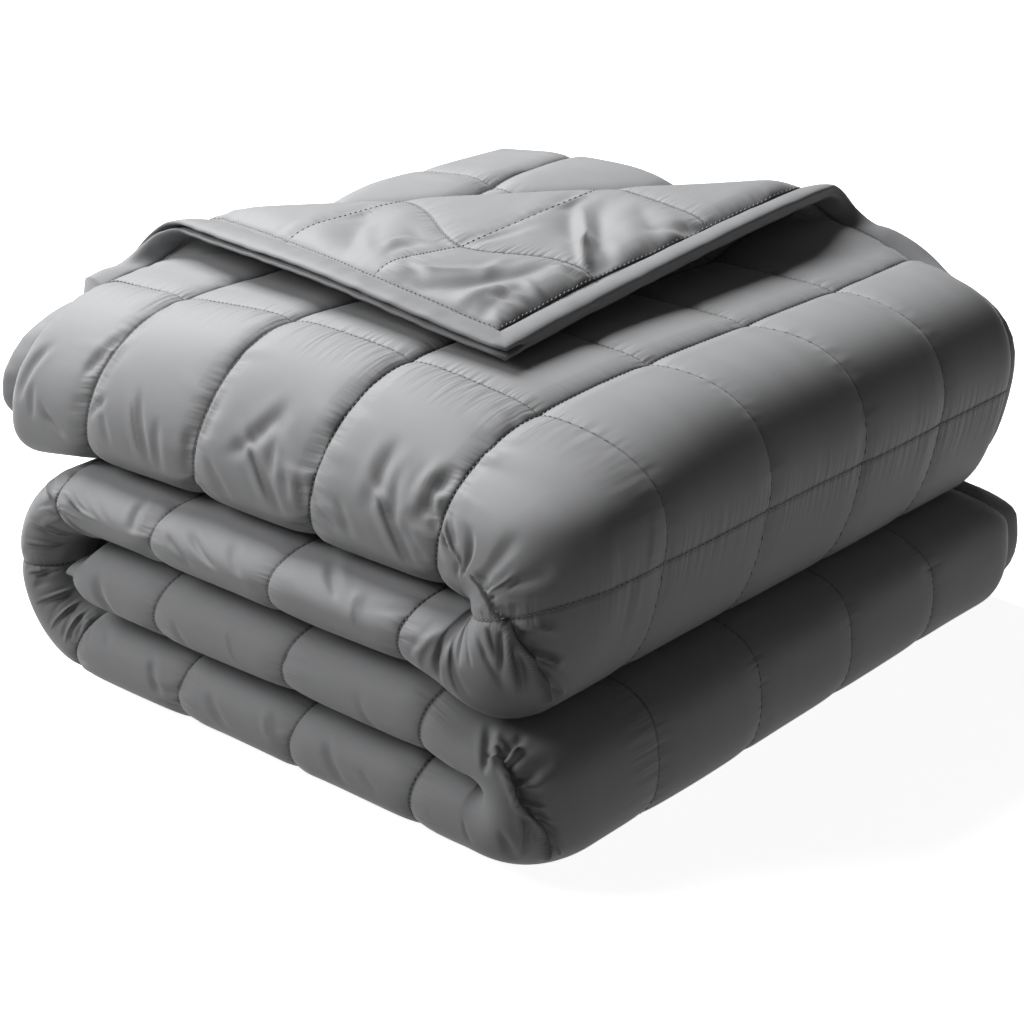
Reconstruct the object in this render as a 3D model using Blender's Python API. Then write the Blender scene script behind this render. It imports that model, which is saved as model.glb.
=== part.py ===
"""A weighted blanket, quilted in squares and folded into a stack.

The blanket is modelled as it is sewn and then put away. A flat quilt is laid out first, in cloth
coordinates: `along` its length, `across` its width, and `through` its thickness, from 0 on the
lining side to 1 on the quilted side. fold() then lays every point of it in the stack:

* the quilt is doubled over a soft nose on the -Y side, which makes an upper and a lower ply;
* the doubled quilt runs back and forth in four lays, round two turns at +X and a wide one at -X;
* the free corner of the top ply is turned over diagonally, and shows its lining side.

Metres, +Z up. The origin is on the floor, under the middle of the stack.
"""

import math
from collections import namedtuple

import bmesh
import bpy
from mathutils import Vector

# ---- Driving sizes -------------------------------------------------------------------------

PLY_GAP = 0.0015         # between the two plies of the doubled quilt
SEAM_SINK = 0.24         # how deep a seam sinks, as a share of a ply's thickness
EDGE_HALF = 0.10         # half the thickness of the sewn edge, as a share of a ply's thickness
BINDING_WIDTH = 0.012
BINDING_HALF = 0.125     # half its thickness, as a share of a ply's thickness
BINDING_SHADE = 0.9      # its colour against the quilt's

# The binding's section, from the quilt's edge outwards: shares of its width and half thickness.
BINDING_SECTION = ((0.025, 0.8), (0.45, 1.0), (1.0, 0.5))

HEM_Y = 0.331            # both long hems of the quilt, on the +Y side
SEAM_ROWS_Y = (0.313, 0.203, 0.093, -0.017, -0.127)   # the seams that run along the lays
NOSE_ARC = 0.140         # cloth between the last of those seams and the tip of the nose

# One row for each lay of the doubled quilt, from its outer end to its inner end. The levels are
# those of the upper ply's and the lower ply's quilted side; the nose is the -Y edge, its tip is
# where between the two sides it lies, and the rounds are how far back it starts to curve.
Lay = namedtuple("Lay", "name x_start x_end upper_z lower_z nose_y tip upper_round lower_round")
LAYS = (
    Lay("top", -0.285, 0.169, 0.2730, 0.1726, -0.228, 0.22, 0.101, 0.030),
    Lay("third", 0.169, -0.168, 0.1224, 0.1706, -0.250, 0.45, 0.040, 0.045),
    Lay("floor", -0.168, 0.188, 0.0647, 0.0000, -0.250, 0.60, 0.040, 0.075),
    Lay("inner", 0.188, -0.194, 0.0667, 0.1204, -0.251, 0.50, 0.045, 0.045),
)

# One row for each turn between two lays: its pivot, the side that it bulges to, the cloth in it,
# and how square its outline is. 2 is round.
Turn = namedtuple("Turn", "pivot_x pivot_z side cloth square")
TURNS = (
    Turn(0.169, 0.1716, 1, 0.136, 2.8),
    Turn(-0.168, 0.0936, -1, 0.244, 2.1),
    Turn(0.188, 0.0657, 1, 0.130, 2.8),
)
TURN_BULB = 0.004        # how far the tight inside of a turn opens

# Seams that run across the lays, and the steps of mesh between each of them and the one before.
# A place is a distance into its lay, or a share of its turn.
CrossSeam = namedtuple("CrossSeam", "stretch place steps")
CROSS_SEAMS = (
    CrossSeam("top", 0.105, 3), CrossSeam("top", 0.215, 3),
    CrossSeam("top", 0.325, 3), CrossSeam("top", 0.435, 3),
    CrossSeam("turn 0", 0.42, 5), CrossSeam("third", 0.030, 7),
    CrossSeam("third", 0.145, 3), CrossSeam("third", 0.260, 3),
    CrossSeam("turn 1", 0.12, 4), CrossSeam("turn 1", 0.50, 5),
    CrossSeam("turn 1", 0.93, 5), CrossSeam("floor", 0.096, 4),
    CrossSeam("floor", 0.205, 3), CrossSeam("floor", 0.314, 3),
    CrossSeam("inner", 0.031, 10), CrossSeam("inner", 0.153, 3),
    CrossSeam("inner", 0.278, 3),
)
LAST_STEPS = 4           # from the last cross seam to the inner end
ROW_STEPS = 3            # mesh steps across one cell
NOSE_STEPS = 5           # mesh steps from the last seam row to the tip of the nose

INNER_END_PINCH = 0.45   # the inner end closes to this share of its height
INNER_END_REACH = 0.030  # over this length

# The turned-over corner of the top ply.
CREASE_START = Vector((-0.295, -0.102))   # where its fold leaves the outer end
CREASE_END = Vector((0.095, 0.331))       # where it leaves the hem
CORNER_PLY = 0.022       # thickness of the turned ply
CORNER_RADIUS = 0.0165   # of the fold, at the middle of the ply
CORNER_EASE = 0.060      # the ply thins over this distance before the fold
CORNER_PULL = Vector((-0.008, -0.080))    # how far the tip is pulled
CORNER_LIFT = 0.012      # its fold stands up by this much at the hem
CORNER_SETTLE = 0.012    # the tip settles by this much
CORNER_ARCH = 0.003      # and the middle of the flap stands up by this much
CORNER_REACH = 0.243     # from the fold to the tip
CORNER_CUTS = 5          # mesh lines over the fold
BARED_SWELL = 0.036      # the bared lower ply swells behind the fold
SWELL_START = 0.045      # so far behind the crease
SWELL_REACH = 0.060      # and over this distance

# How the stack settles.
PLUMP = 0.160            # behind the turned corner it stands higher, by this share
PLUMP_REACH = 0.150
CROWN = 0.012            # the top lay is fullest here
CROWN_PLACE = Vector((-0.04, -0.10))
CROWN_REACH = 0.140
NEAR_DROOP = 0.010       # the near corner of the top lay hangs lower
NEAR_CORNER = Vector((0.080, -0.030))     # from here on
NEAR_REACH = 0.140
END_DROOP = 0.015        # and so does its outer end, underneath
END_REACH = 0.120
SIDE_X = 0.140           # from here to +X the turns sink and their hems are drawn in
SIDE_REACH = 0.070
BELLY = 0.018            # the upper turn sinks into the lower one by this much
BELLY_HEIGHT = 0.070
HEM_PULL = 0.022         # the hem of the upper turn is drawn in by this much
HEM_PULL_Y = 0.100
HEM_PULL_REACH = 0.220
HEM_PULL_RISE = 0.040

GREY = (0.155, 0.157, 0.162, 1.0)

# ---- Lengths that follow from them ---------------------------------------------------------

NOTCH_Z = LAYS[3].lower_z                 # between the upper and the lower turn at +X
NOSE_START = HEM_Y - SEAM_ROWS_Y[-1]      # across, from a hem to the last seam row
MIDDLE = NOSE_START + NOSE_ARC            # across, from a hem to the tip of the nose
FLAT_WIDTH = 2 * MIDDLE
CREASE_LENGTH = (CREASE_END - CREASE_START).length
CREASE_DIR = (CREASE_END - CREASE_START).normalized()
CREASE_OUT = Vector((-CREASE_DIR.y, CREASE_DIR.x))
TOP_MIDDLE_Z = (LAYS[0].upper_z + LAYS[0].lower_z) / 2


def stretches():
    """The lays and turns in order, each as (name, start along, end along, lay, turn, next lay)."""
    rows, here = [], 0.0
    for number, lay in enumerate(LAYS):
        length = abs(lay.x_end - lay.x_start)
        rows.append((lay.name, here, here + length, lay, None, lay))
        here += length
        if number < len(TURNS):
            turn = TURNS[number]
            rows.append((f"turn {number}", here, here + turn.cloth, lay, turn, LAYS[number + 1]))
            here += turn.cloth
    return rows


STRETCHES = stretches()
FLAT_LENGTH = STRETCHES[-1][2]
TOP_LAY_END = STRETCHES[0][2]


def ease(share):
    """A soft step from 0 to 1."""
    share = min(max(share, 0.0), 1.0)
    return share * share * (3 - 2 * share)


def mix(first, second, share):
    return first + (second - first) * share


def section(along):
    """The doubled quilt's section at a place along it: its upper and lower ply's quilted side as
    points (x, z), and the shape of its nose as (y, tip, upper round, lower round)."""
    for name, start, end, lay, turn, after in STRETCHES:
        if along <= end:
            break
    if turn is None:
        x = lay.x_start + math.copysign(1.0, lay.x_end - lay.x_start) * (along - start)
        return Vector((x, lay.upper_z)), Vector((x, lay.lower_z)), lay[5:]
    share = (along - start) / (end - start)
    from_above = lay.upper_z + lay.lower_z > 2 * turn.pivot_z
    angle = math.pi * (0.5 - share if from_above else share - 0.5)
    points = []
    for level, next_level in ((lay.upper_z, after.upper_z), (lay.lower_z, after.lower_z)):
        radius = mix(abs(level - turn.pivot_z), abs(next_level - turn.pivot_z), ease(share))
        radius += TURN_BULB * math.sin(math.pi * share)
        radius /= (abs(math.cos(angle)) ** turn.square
                   + abs(math.sin(angle)) ** turn.square) ** (1 / turn.square)
        points.append(Vector((turn.pivot_x + turn.side * radius * math.cos(angle),
                              turn.pivot_z + radius * math.sin(angle))))
    nose = [mix(one, other, ease(share)) for one, other in zip(lay[5:], after[5:])]
    return points[0], points[1], nose


def profile(from_hem, is_upper, nose, height):
    """Where a ply runs at a distance from its hem: y and level on its quilted side, and y and
    level on its lining side. A level is 1 on the upper ply's quilted side, 0 on the lower's."""
    nose_y, tip, upper_round, lower_round = nose
    slit = PLY_GAP / 2 / height
    outer = 1.0 if is_upper else 0.0
    inner = 0.5 + slit if is_upper else 0.5 - slit
    if from_hem <= NOSE_START:
        y = HEM_Y - from_hem
        return y, outer, y, inner
    soft = upper_round if is_upper else lower_round
    straight = max(SEAM_ROWS_Y[-1] - nose_y - soft, 0.0)
    rise = abs(outer - tip) * height
    curve = math.pi / 2 * math.sqrt((soft ** 2 + rise ** 2) / 2)
    travelled = (from_hem - NOSE_START) / NOSE_ARC * (straight + curve)
    if travelled <= straight:
        y = SEAM_ROWS_Y[-1] - travelled
        return y, outer, y, inner
    angle = math.pi / 2 * (travelled - straight) / curve
    bend_y = nose_y + soft
    y = bend_y - soft * math.sin(angle)
    lining_tip_y = min(nose_y + height / 2, bend_y - 0.004)
    lining_y = bend_y - (bend_y - lining_tip_y) * math.sin(angle)
    return (y, mix(outer, tip, 1 - math.cos(angle)),
            lining_y, mix(inner, 0.5, 1 - math.cos(angle)))


def from_crease(x, y):
    """How far a place lies beyond the crease, and how far along it."""
    plan = Vector((x, y)) - CREASE_START
    return plan.dot(CREASE_OUT), plan.dot(CREASE_DIR)


def turn_corner(x, y, through, top_z):
    """The top ply beyond the crease, turned up and over. Before the crease it thins."""
    beyond, beside = from_crease(x, y)
    nearing = ease(1 + beyond / CORNER_EASE)
    ply = mix((LAYS[0].upper_z - LAYS[0].lower_z - PLY_GAP) / 2, CORNER_PLY, nearing)
    offset = (through - 0.5) * ply
    angle = min(max(beyond, 0.0) / CORNER_RADIUS, math.pi)
    laid_back = max(beyond - math.pi * CORNER_RADIUS, 0.0)
    out = (CORNER_RADIUS - offset) * math.sin(angle) - laid_back + min(beyond, 0.0)
    z = top_z - ply / 2 + CORNER_RADIUS - (CORNER_RADIUS - offset) * math.cos(angle)
    share = min(laid_back / CORNER_REACH, 1.0)
    z += CORNER_ARCH * math.sin(math.pi * share) - CORNER_SETTLE * ease(share)
    z += CORNER_LIFT * nearing * ease(beside / CREASE_LENGTH) * (1 - share)
    pull = CORNER_PULL * math.sin(math.pi / 2 * share)
    spot = CREASE_START + CREASE_DIR * beside + CREASE_OUT * out + pull
    return spot.x, spot.y, z


def settle(x, y, z):
    """Let the folded stack sink and swell a little. The floor stays where it is."""
    top = ease((z - TOP_MIDDLE_Z) / (LAYS[0].upper_z - TOP_MIDDLE_Z))
    aside = (Vector((x, y)) - CROWN_PLACE).length / CROWN_REACH
    near = ease((x - NEAR_CORNER.x) / NEAR_REACH) * ease((NEAR_CORNER.y - y) / NEAR_REACH)
    rise = top * (CROWN * math.exp(-aside ** 2) - NEAR_DROOP * near)
    side = ease((x - SIDE_X) / SIDE_REACH)
    rise -= BELLY * side * max(0.0, 1 - abs(z - NOTCH_Z) / BELLY_HEIGHT)
    pull = HEM_PULL * side * ease((y - HEM_PULL_Y) / HEM_PULL_REACH)
    pull *= ease((z - NOTCH_Z) / HEM_PULL_RISE + 1)
    plump = PLUMP * ease(from_crease(x, y)[0] / PLUMP_REACH)
    return Vector((x, y - pull, z * (1 + plump) + rise))


def fold(along, across, through):
    """A point of the flat quilt, laid in the stack."""
    is_upper = across <= MIDDLE
    from_hem = across if is_upper else FLAT_WIDTH - across
    upper, lower, nose = section(along)
    height = (upper - lower).length
    y, level, lining_y, lining_level = profile(from_hem, is_upper, nose, height)
    y = mix(lining_y, y, through)
    level = mix(lining_level, level, through)
    near_end = ease((along - FLAT_LENGTH + INNER_END_REACH) / INNER_END_REACH)
    level = 0.5 + (level - 0.5) * mix(1.0, INNER_END_PINCH, near_end)
    x, z = lower + (upper - lower) * level
    if along <= TOP_LAY_END:
        z -= END_DROOP * (1 - level) * ease(1 - (x - LAYS[0].x_start) / END_REACH)
        beyond = from_crease(x, y)[0]
        if is_upper and from_hem <= NOSE_START and beyond > -CORNER_EASE:
            x, y, z = turn_corner(x, y, through, upper.y)
        elif not is_upper:
            swell = BARED_SWELL * ease((beyond - SWELL_START) / SWELL_REACH)
            z += swell * (1 - through ** 2 / 2)
    return settle(x, y, z)


# ---- The flat quilt and its binding ----------------------------------------------------------

def steps_between(stops, counts):
    """Every mesh line from the first stop to the last, with counts[i] steps after stop i."""
    lines = [stops[0]]
    for start, end, count in zip(stops, stops[1:], counts):
        lines += [mix(start, end, (step + 1) / count) for step in range(count)]
    return lines


def seams_along():
    places = {name: (start, end, turn) for name, start, end, lay, turn, after in STRETCHES}
    found = []
    for seam in CROSS_SEAMS:
        start, end, turn = places[seam.stretch]
        found.append(start + seam.place * (end - start if turn else 1.0))
    return found


SEAMS_ALONG = seams_along()
SEAMS_ACROSS = [HEM_Y - y for y in SEAM_ROWS_Y]
SEAMS_ACROSS += [FLAT_WIDTH - seam for seam in reversed(SEAMS_ACROSS)]
LINES_ALONG = steps_between([0.0] + SEAMS_ALONG + [FLAT_LENGTH],
                            [seam.steps for seam in CROSS_SEAMS] + [LAST_STEPS])
LINES_ACROSS = steps_between([0.0] + SEAMS_ACROSS + [FLAT_WIDTH],
                             [1] + [ROW_STEPS] * 4 + [2 * NOSE_STEPS] + [ROW_STEPS] * 4 + [1])


def is_seam(place, seams):
    return any(abs(place - seam) < 1e-6 for seam in seams)


def quilt_depth(along, across):
    """How far a point of the quilted side sinks, as a share of the ply."""
    on_edge = min(along, FLAT_LENGTH - along, across, FLAT_WIDTH - across) < 1e-6
    if on_edge:
        return 0.5 - EDGE_HALF
    if is_seam(along, SEAMS_ALONG) or is_seam(across, SEAMS_ACROSS):
        return SEAM_SINK
    return 0.0


def crease_planes():
    """The mesh lines that the turned corner bends on, as (point, normal) in cloth coordinates."""
    normal = Vector((CREASE_OUT.x, -CREASE_OUT.y, 0.0))
    foot = Vector((CREASE_START.x - LAYS[0].x_start, HEM_Y - CREASE_START.y, 0.0))
    reaches = [-CORNER_EASE, -CORNER_EASE / 2]
    reaches += [math.pi * CORNER_RADIUS * cut / CORNER_CUTS for cut in range(CORNER_CUTS + 1)]
    return [(foot + normal * reach, normal) for reach in reaches]


def cut_for_crease(mesh):
    """Cut the upper ply of the top lay along the fold of its corner."""
    for point, normal in crease_planes():
        near = [face for face in mesh.faces
                if face.calc_center_median().x < TOP_LAY_END
                and face.calc_center_median().y < MIDDLE]
        edges = {edge for face in near for edge in face.edges}
        verts = {vert for face in near for vert in face.verts}
        bmesh.ops.bisect_plane(mesh, geom=near + list(edges) + list(verts), dist=1e-7,
                               plane_co=point, plane_no=normal)


def thin_out_lining(mesh, lining):
    """Inside the lower lays the two linings only face each other, so they need few mesh lines."""
    places = [0.0, NOSE_START, MIDDLE - NOSE_ARC * 0.4, MIDDLE]
    places += [FLAT_WIDTH - across for across in places]
    kept = [min(LINES_ACROSS, key=lambda line: abs(line - place)) for place in places]
    spare = []
    for edge in mesh.edges:
        one, other = edge.verts
        if one not in lining or other not in lining:
            continue
        same_line = abs(one.co.y - other.co.y) < 1e-6
        inside = min(one.co.x, other.co.x) > TOP_LAY_END
        if same_line and inside and not is_seam(one.co.y, kept):
            spare.append(edge)
    bmesh.ops.dissolve_edges(mesh, edges=spare, use_verts=True)


def flat_quilt():
    """The quilt laid flat: a grid on the lining side, drawn out to the quilted side."""
    mesh = bmesh.new()
    bmesh.ops.create_grid(mesh, x_segments=len(LINES_ALONG) - 1,
                          y_segments=len(LINES_ACROSS) - 1, size=1.0)
    for vert in mesh.verts:
        column = round((vert.co.x + 1) / 2 * (len(LINES_ALONG) - 1))
        row = round((vert.co.y + 1) / 2 * (len(LINES_ACROSS) - 1))
        vert.co = Vector((LINES_ALONG[column], LINES_ACROSS[row], 0.0))
    lining = set(mesh.verts)
    drawn = bmesh.ops.extrude_face_region(mesh, geom=list(mesh.faces), use_keep_orig=True)
    for vert in (item for item in drawn["geom"] if isinstance(item, bmesh.types.BMVert)):
        vert.co.z = 1 - quilt_depth(vert.co.x, vert.co.y)
    for vert in lining:
        if vert.co.x <= TOP_LAY_END or min(vert.co.y, FLAT_WIDTH - vert.co.y) < 1e-6:
            vert.co.z = quilt_depth(vert.co.x, vert.co.y)
        elif FLAT_LENGTH - vert.co.x < 1e-6:
            vert.co.z = 0.5 - EDGE_HALF
    thin_out_lining(mesh, lining)
    return mesh


def flat_binding():
    """The binding laid flat: one strip down a long hem, round the outer end and up the other."""
    stop = FLAT_LENGTH - INNER_END_REACH
    inner = [along for along in LINES_ALONG if along < stop] + [stop]
    path = [(along, 0.0, 0, -1) for along in reversed(inner[1:])] + [(0.0, 0.0, -1, -1)]
    path += [(0.0, across, -1, 0) for across in LINES_ACROSS[1:-1]]
    path += [(0.0, FLAT_WIDTH, -1, 1)] + [(along, FLAT_WIDTH, 0, 1) for along in inner[1:]]
    outline = [(BINDING_WIDTH * out, BINDING_HALF * rise) for out, rise in BINDING_SECTION]
    outline += [(out, -rise) for out, rise in reversed(outline)]
    mesh = bmesh.new()
    bmesh.ops.create_grid(mesh, x_segments=len(path) - 1, y_segments=len(outline), size=1.0)
    for vert in mesh.verts:
        along, across, out_along, out_across = path[round((vert.co.x + 1) / 2 * (len(path) - 1))]
        out, rise = outline[round((vert.co.y + 1) / 2 * len(outline)) % len(outline)]
        vert.co = Vector((along + out * out_along, across + out * out_across, 0.5 + rise))
    bmesh.ops.remove_doubles(mesh, verts=mesh.verts, dist=1e-6)
    bmesh.ops.holes_fill(mesh, edges=[edge for edge in mesh.edges if edge.is_boundary], sides=0)
    return mesh


# ---- Objects -------------------------------------------------------------------------------

def cloth_material(name, shade):
    material = bpy.data.materials.new(name)
    material.use_nodes = True
    shader = material.node_tree.nodes["Principled BSDF"]
    shader.inputs["Base Color"].default_value = [part * shade for part in GREY[:3]] + [1.0]
    shader.inputs["Roughness"].default_value = 0.62
    shader.inputs["Metallic"].default_value = 0.0
    return material


def folded_object(name, mesh, shade):
    """Fold a flat piece, and make an object of it."""
    cut_for_crease(mesh)
    for vert in mesh.verts:
        vert.co = fold(*vert.co)
    bmesh.ops.triangulate(mesh, faces=mesh.faces)
    bmesh.ops.recalc_face_normals(mesh, faces=mesh.faces)
    data = bpy.data.meshes.new(name)
    mesh.to_mesh(data)
    mesh.free()
    data.materials.append(cloth_material(name, shade))
    piece = bpy.data.objects.new(name, data)
    bpy.context.scene.collection.objects.link(piece)
    return piece


def stand_over_origin(pieces):
    """Bring the middle of the whole to the origin. The floor stays where it is."""
    corners = [vert.co for piece in pieces for vert in piece.data.vertices]
    for axis in (0, 1):
        middle = (min(corner[axis] for corner in corners)
                  + max(corner[axis] for corner in corners)) / 2
        for corner in corners:
            corner[axis] -= middle


def main():
    for old in list(bpy.data.objects):
        bpy.data.objects.remove(old, do_unlink=True)
    stand_over_origin([folded_object("blanket", flat_quilt(), 1.0),
                       folded_object("binding", flat_binding(), BINDING_SHADE)])


main()
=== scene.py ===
"""A grey weighted blanket, quilted in squares, bound at its edge and folded into a stack.

The blanket is made as it is sewn and then put away. Each length of it is a grid of cloth, laid
flat first: `along` its length, `across` its width, and `through` its thickness, from 0 on the
lining side to 1 on the quilted side. fold() lays every point of it in the stack, and the filling,
the puckers at the seams and the creases then move it out of or into its own surface.

Metres, +Z up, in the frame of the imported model.
"""

import math
from collections import namedtuple

import bmesh
import bpy
import numpy as np
from bpy.props import FloatProperty, FloatVectorProperty, PointerProperty
from mathutils import Matrix, Vector


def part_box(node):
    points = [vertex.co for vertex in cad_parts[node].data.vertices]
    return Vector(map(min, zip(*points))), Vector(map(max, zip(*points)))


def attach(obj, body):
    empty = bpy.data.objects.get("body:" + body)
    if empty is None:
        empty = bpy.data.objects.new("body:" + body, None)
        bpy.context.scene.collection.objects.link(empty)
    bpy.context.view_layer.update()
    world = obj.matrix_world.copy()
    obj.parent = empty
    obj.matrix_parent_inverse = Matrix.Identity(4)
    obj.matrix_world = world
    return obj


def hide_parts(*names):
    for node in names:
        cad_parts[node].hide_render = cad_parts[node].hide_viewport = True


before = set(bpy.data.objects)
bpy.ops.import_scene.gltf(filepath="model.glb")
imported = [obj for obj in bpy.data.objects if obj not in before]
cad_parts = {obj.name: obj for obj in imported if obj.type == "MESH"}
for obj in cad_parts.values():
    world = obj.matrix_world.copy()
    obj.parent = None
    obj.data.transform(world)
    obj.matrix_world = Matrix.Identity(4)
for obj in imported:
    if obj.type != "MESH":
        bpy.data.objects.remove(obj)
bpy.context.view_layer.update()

bl_info = {
    "name": "Folded weighted blanket",
    "version": (1, 0, 0),
    "blender": (4, 5, 0),
    "location": "View3D > Sidebar > Blanket",
    "description": "Builds a quilted blanket folded into a stack, with its binding and stitching",
    "category": "Object",
}

# ---- The folded blanket's sizes ------------------------------------------------------------

PLY_GAP = 0.0015         # between the two plies of the doubled blanket
CROSS_SINK = 0.105       # how deep a seam that runs across sinks, as a share of the ply
ROW_SINK = 0.045         # and a seam that runs along
TURN_SINK = 0.040        # and the one that runs across the upper turn
EDGE_HALF = 0.0028       # half the thickness of the sewn edge
EDGE_RISE = 0.030        # from the binding's seam to where the filling is full
BINDING_WIDTH = 0.012    # from the hem to the outside of the binding
BOUND = 0.009            # from the hem to the line that the binding is sewn on

HEM_Y = 0.331            # both long hems, on the +Y side
SEAM_ROWS_Y = (0.322, 0.203, 0.093, -0.017, -0.127)   # the seams that run along the lays
NOSE_ARC = 0.140         # cloth between the last of those seams and the tip of the nose

# One row for each lay of the doubled blanket, from its outer end to its inner end. The levels are
# those of the upper ply's and the lower ply's quilted side; the nose is the -Y edge, its tip is
# where between the two sides it lies, and the rounds are how far back it starts to curve.
Lay = namedtuple("Lay", "name x_start x_end upper_z lower_z nose_y tip upper_round lower_round")
LAYS = (
    Lay("top", -0.285, 0.169, 0.2730, 0.1726, -0.228, 0.22, 0.101, 0.030),
    Lay("third", 0.169, -0.168, 0.1224, 0.1706, -0.250, 0.45, 0.040, 0.045),
    Lay("floor", -0.168, 0.188, 0.0647, 0.0000, -0.250, 0.60, 0.040, 0.075),
    Lay("inner", 0.188, -0.194, 0.0667, 0.1204, -0.251, 0.50, 0.045, 0.045),
)

# One row for each turn between two lays: its pivot, the side that it bulges to, the cloth in it,
# and how square its outline is. 2 is round.
Turn = namedtuple("Turn", "pivot_x pivot_z side cloth square")
TURNS = (
    Turn(0.169, 0.1716, 1, 0.136, 2.8),
    Turn(-0.168, 0.0936, -1, 0.244, 2.1),
    Turn(0.188, 0.0657, 1, 0.130, 2.8),
)
TURN_BULB = 0.004        # how far the tight inside of a turn opens

# Seams that run across the lays. A place is a distance into its lay, or a share of its turn.
CROSS_SEAMS = {
    "top": (0.105, 0.215, 0.325, 0.435), "turn 0": (0.42,),
    "third": (0.030, 0.145, 0.260), "turn 1": (0.12, 0.50, 0.93),
    "floor": (0.096, 0.205, 0.314), "inner": (0.031, 0.153, 0.278),
}

INNER_END_PINCH = 0.45   # the inner end closes to this share of its height
INNER_END_REACH = 0.030  # over this length

# The turned-over corner of the top ply.
CREASE_START = Vector((-0.295, -0.102))   # where its fold leaves the outer end
CREASE_END = Vector((0.095, 0.331))       # where it leaves the hem
CORNER_PLY = 0.022       # thickness of the turned ply
CORNER_RADIUS = 0.0165   # of the fold, at the middle of the ply
CORNER_EASE = 0.060      # the ply thins over this distance before the fold
CORNER_PULL = Vector((-0.008, -0.080))    # how far the tip is pulled
CORNER_LIFT = 0.012      # its fold stands up by this much at the hem
CORNER_SETTLE = 0.012    # the tip settles by this much
CORNER_ARCH = 0.003      # and the middle of the flap stands up by this much
CORNER_REACH = 0.243     # from the fold to the tip
PULLED_PLACE = Vector((0.105, 0.128))     # on the flap, the crossing of two seams is pulled
PULLED = Vector((-0.035, -0.017))         # towards the tip, by this much cloth
PULLED_REACH = 0.060
BARED_SWELL = 0.036      # the bared lower ply swells behind the fold
SWELL_START = 0.045      # so far behind the crease
SWELL_REACH = 0.060      # and over this distance

# How the stack settles.
PLUMP = 0.160            # behind the turned corner it stands higher, by this share
PLUMP_REACH = 0.150
CROWN = 0.012            # the top lay is fullest here
CROWN_PLACE = Vector((-0.04, -0.10))
CROWN_REACH = 0.140
NEAR_DROOP = 0.010       # the near corner of the top lay hangs lower
NEAR_CORNER = Vector((0.080, -0.030))     # from here on
NEAR_REACH = 0.140
END_DROOP = 0.015        # and so does its outer end, underneath
END_REACH = 0.120
SIDE_X = 0.140           # from here to +X the turns sink and their hems are drawn in
SIDE_REACH = 0.070
BELLY = 0.018            # the upper turn sinks into the lower one by this much
BELLY_HEIGHT = 0.070
HEM_PULL = 0.022         # the hem of the upper turn is drawn in by this much
HEM_PULL_Y = 0.100
HEM_PULL_REACH = 0.220
HEM_PULL_RISE = 0.040

# ---- Lengths that follow from them ---------------------------------------------------------

NOTCH_Z = LAYS[3].lower_z                 # between the upper and the lower turn at +X
NOSE_START = HEM_Y - SEAM_ROWS_Y[-1]      # across, from a hem to the last seam row
MIDDLE = NOSE_START + NOSE_ARC            # across, from a hem to the tip of the nose
FLAT_WIDTH = 2 * MIDDLE
CREASE_LENGTH = (CREASE_END - CREASE_START).length
CREASE_DIR = (CREASE_END - CREASE_START).normalized()
CREASE_OUT = Vector((-CREASE_DIR.y, CREASE_DIR.x))
TOP_MIDDLE_Z = (LAYS[0].upper_z + LAYS[0].lower_z) / 2

# The model stands with the middle of its box over the origin, and its box comes from the frame.
BINDING_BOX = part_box("binding")
CENTRE_X = LAYS[0].x_start - BINDING_WIDTH - BINDING_BOX[0][0]
CENTRE_Y = HEM_Y + BINDING_WIDTH - BINDING_BOX[1][1]

# One stretch of the cloth, which is a lay or the turn between two lays.
Stretch = namedtuple("Stretch", "name start end lay turn next_lay")


def stretches():
    """The lays, and the turns between them, in order along the cloth. A lay has no turn."""
    rows, here = [], 0.0
    for number, lay in enumerate(LAYS):
        length = abs(lay.x_end - lay.x_start)
        rows.append(Stretch(lay.name, here, here + length, lay, None, lay))
        here += length
        if number < len(TURNS):
            turn = TURNS[number]
            rows.append(Stretch(f"turn {number}", here, here + turn.cloth, lay, turn,
                                LAYS[number + 1]))
            here += turn.cloth
    return {row.name: row for row in rows}


STRETCHES = stretches()
FLAT_LENGTH = STRETCHES["inner"].end
TOP_LAY_END = STRETCHES["top"].end


def seams_along():
    """Where along the cloth the seams lie that run across it."""
    found = []
    for name, places in CROSS_SEAMS.items():
        stretch = STRETCHES[name]
        scale = stretch.end - stretch.start if stretch.turn else 1.0
        found += [stretch.start + place * scale for place in places]
    return found


SEAMS_ALONG = seams_along()
SEAMS_ACROSS = [HEM_Y - y for y in SEAM_ROWS_Y]
SEAMS_ACROSS += [FLAT_WIDTH - seam for seam in reversed(SEAMS_ACROSS)]
TURN_SEAM = SEAMS_ALONG[4]                # the one that runs across the upper turn


# ---- Soft steps and soft noise, on whole arrays ----------------------------------------------

def ease(share):
    """A soft step from 0 to 1."""
    share = np.clip(share, 0.0, 1.0)
    return share * share * (3 - 2 * share)


def mix(first, second, share):
    return first + (second - first) * share


NOISE_SIZE = 64          # the noise repeats after so many waves


def soft_noise(u, v, seed):
    """Smooth, repeatable noise from -1 to 1, one wave for each unit of u and v."""
    table = np.random.default_rng(seed).uniform(-1, 1, (NOISE_SIZE, NOISE_SIZE))
    u0, v0 = np.floor(u).astype(int), np.floor(v).astype(int)
    fu, fv = ease(u - u0), ease(v - v0)
    u1, v1 = (u0 + 1) % NOISE_SIZE, (v0 + 1) % NOISE_SIZE
    u0, v0 = u0 % NOISE_SIZE, v0 % NOISE_SIZE
    near = mix(table[u0, v0], table[u1, v0], fu)
    far = mix(table[u0, v1], table[u1, v1], fu)
    return mix(near, far, fv)


# ---- Folding ---------------------------------------------------------------------------------

def nose_shape(lay):
    return lay.nose_y, lay.tip, lay.upper_round, lay.lower_round


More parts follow.
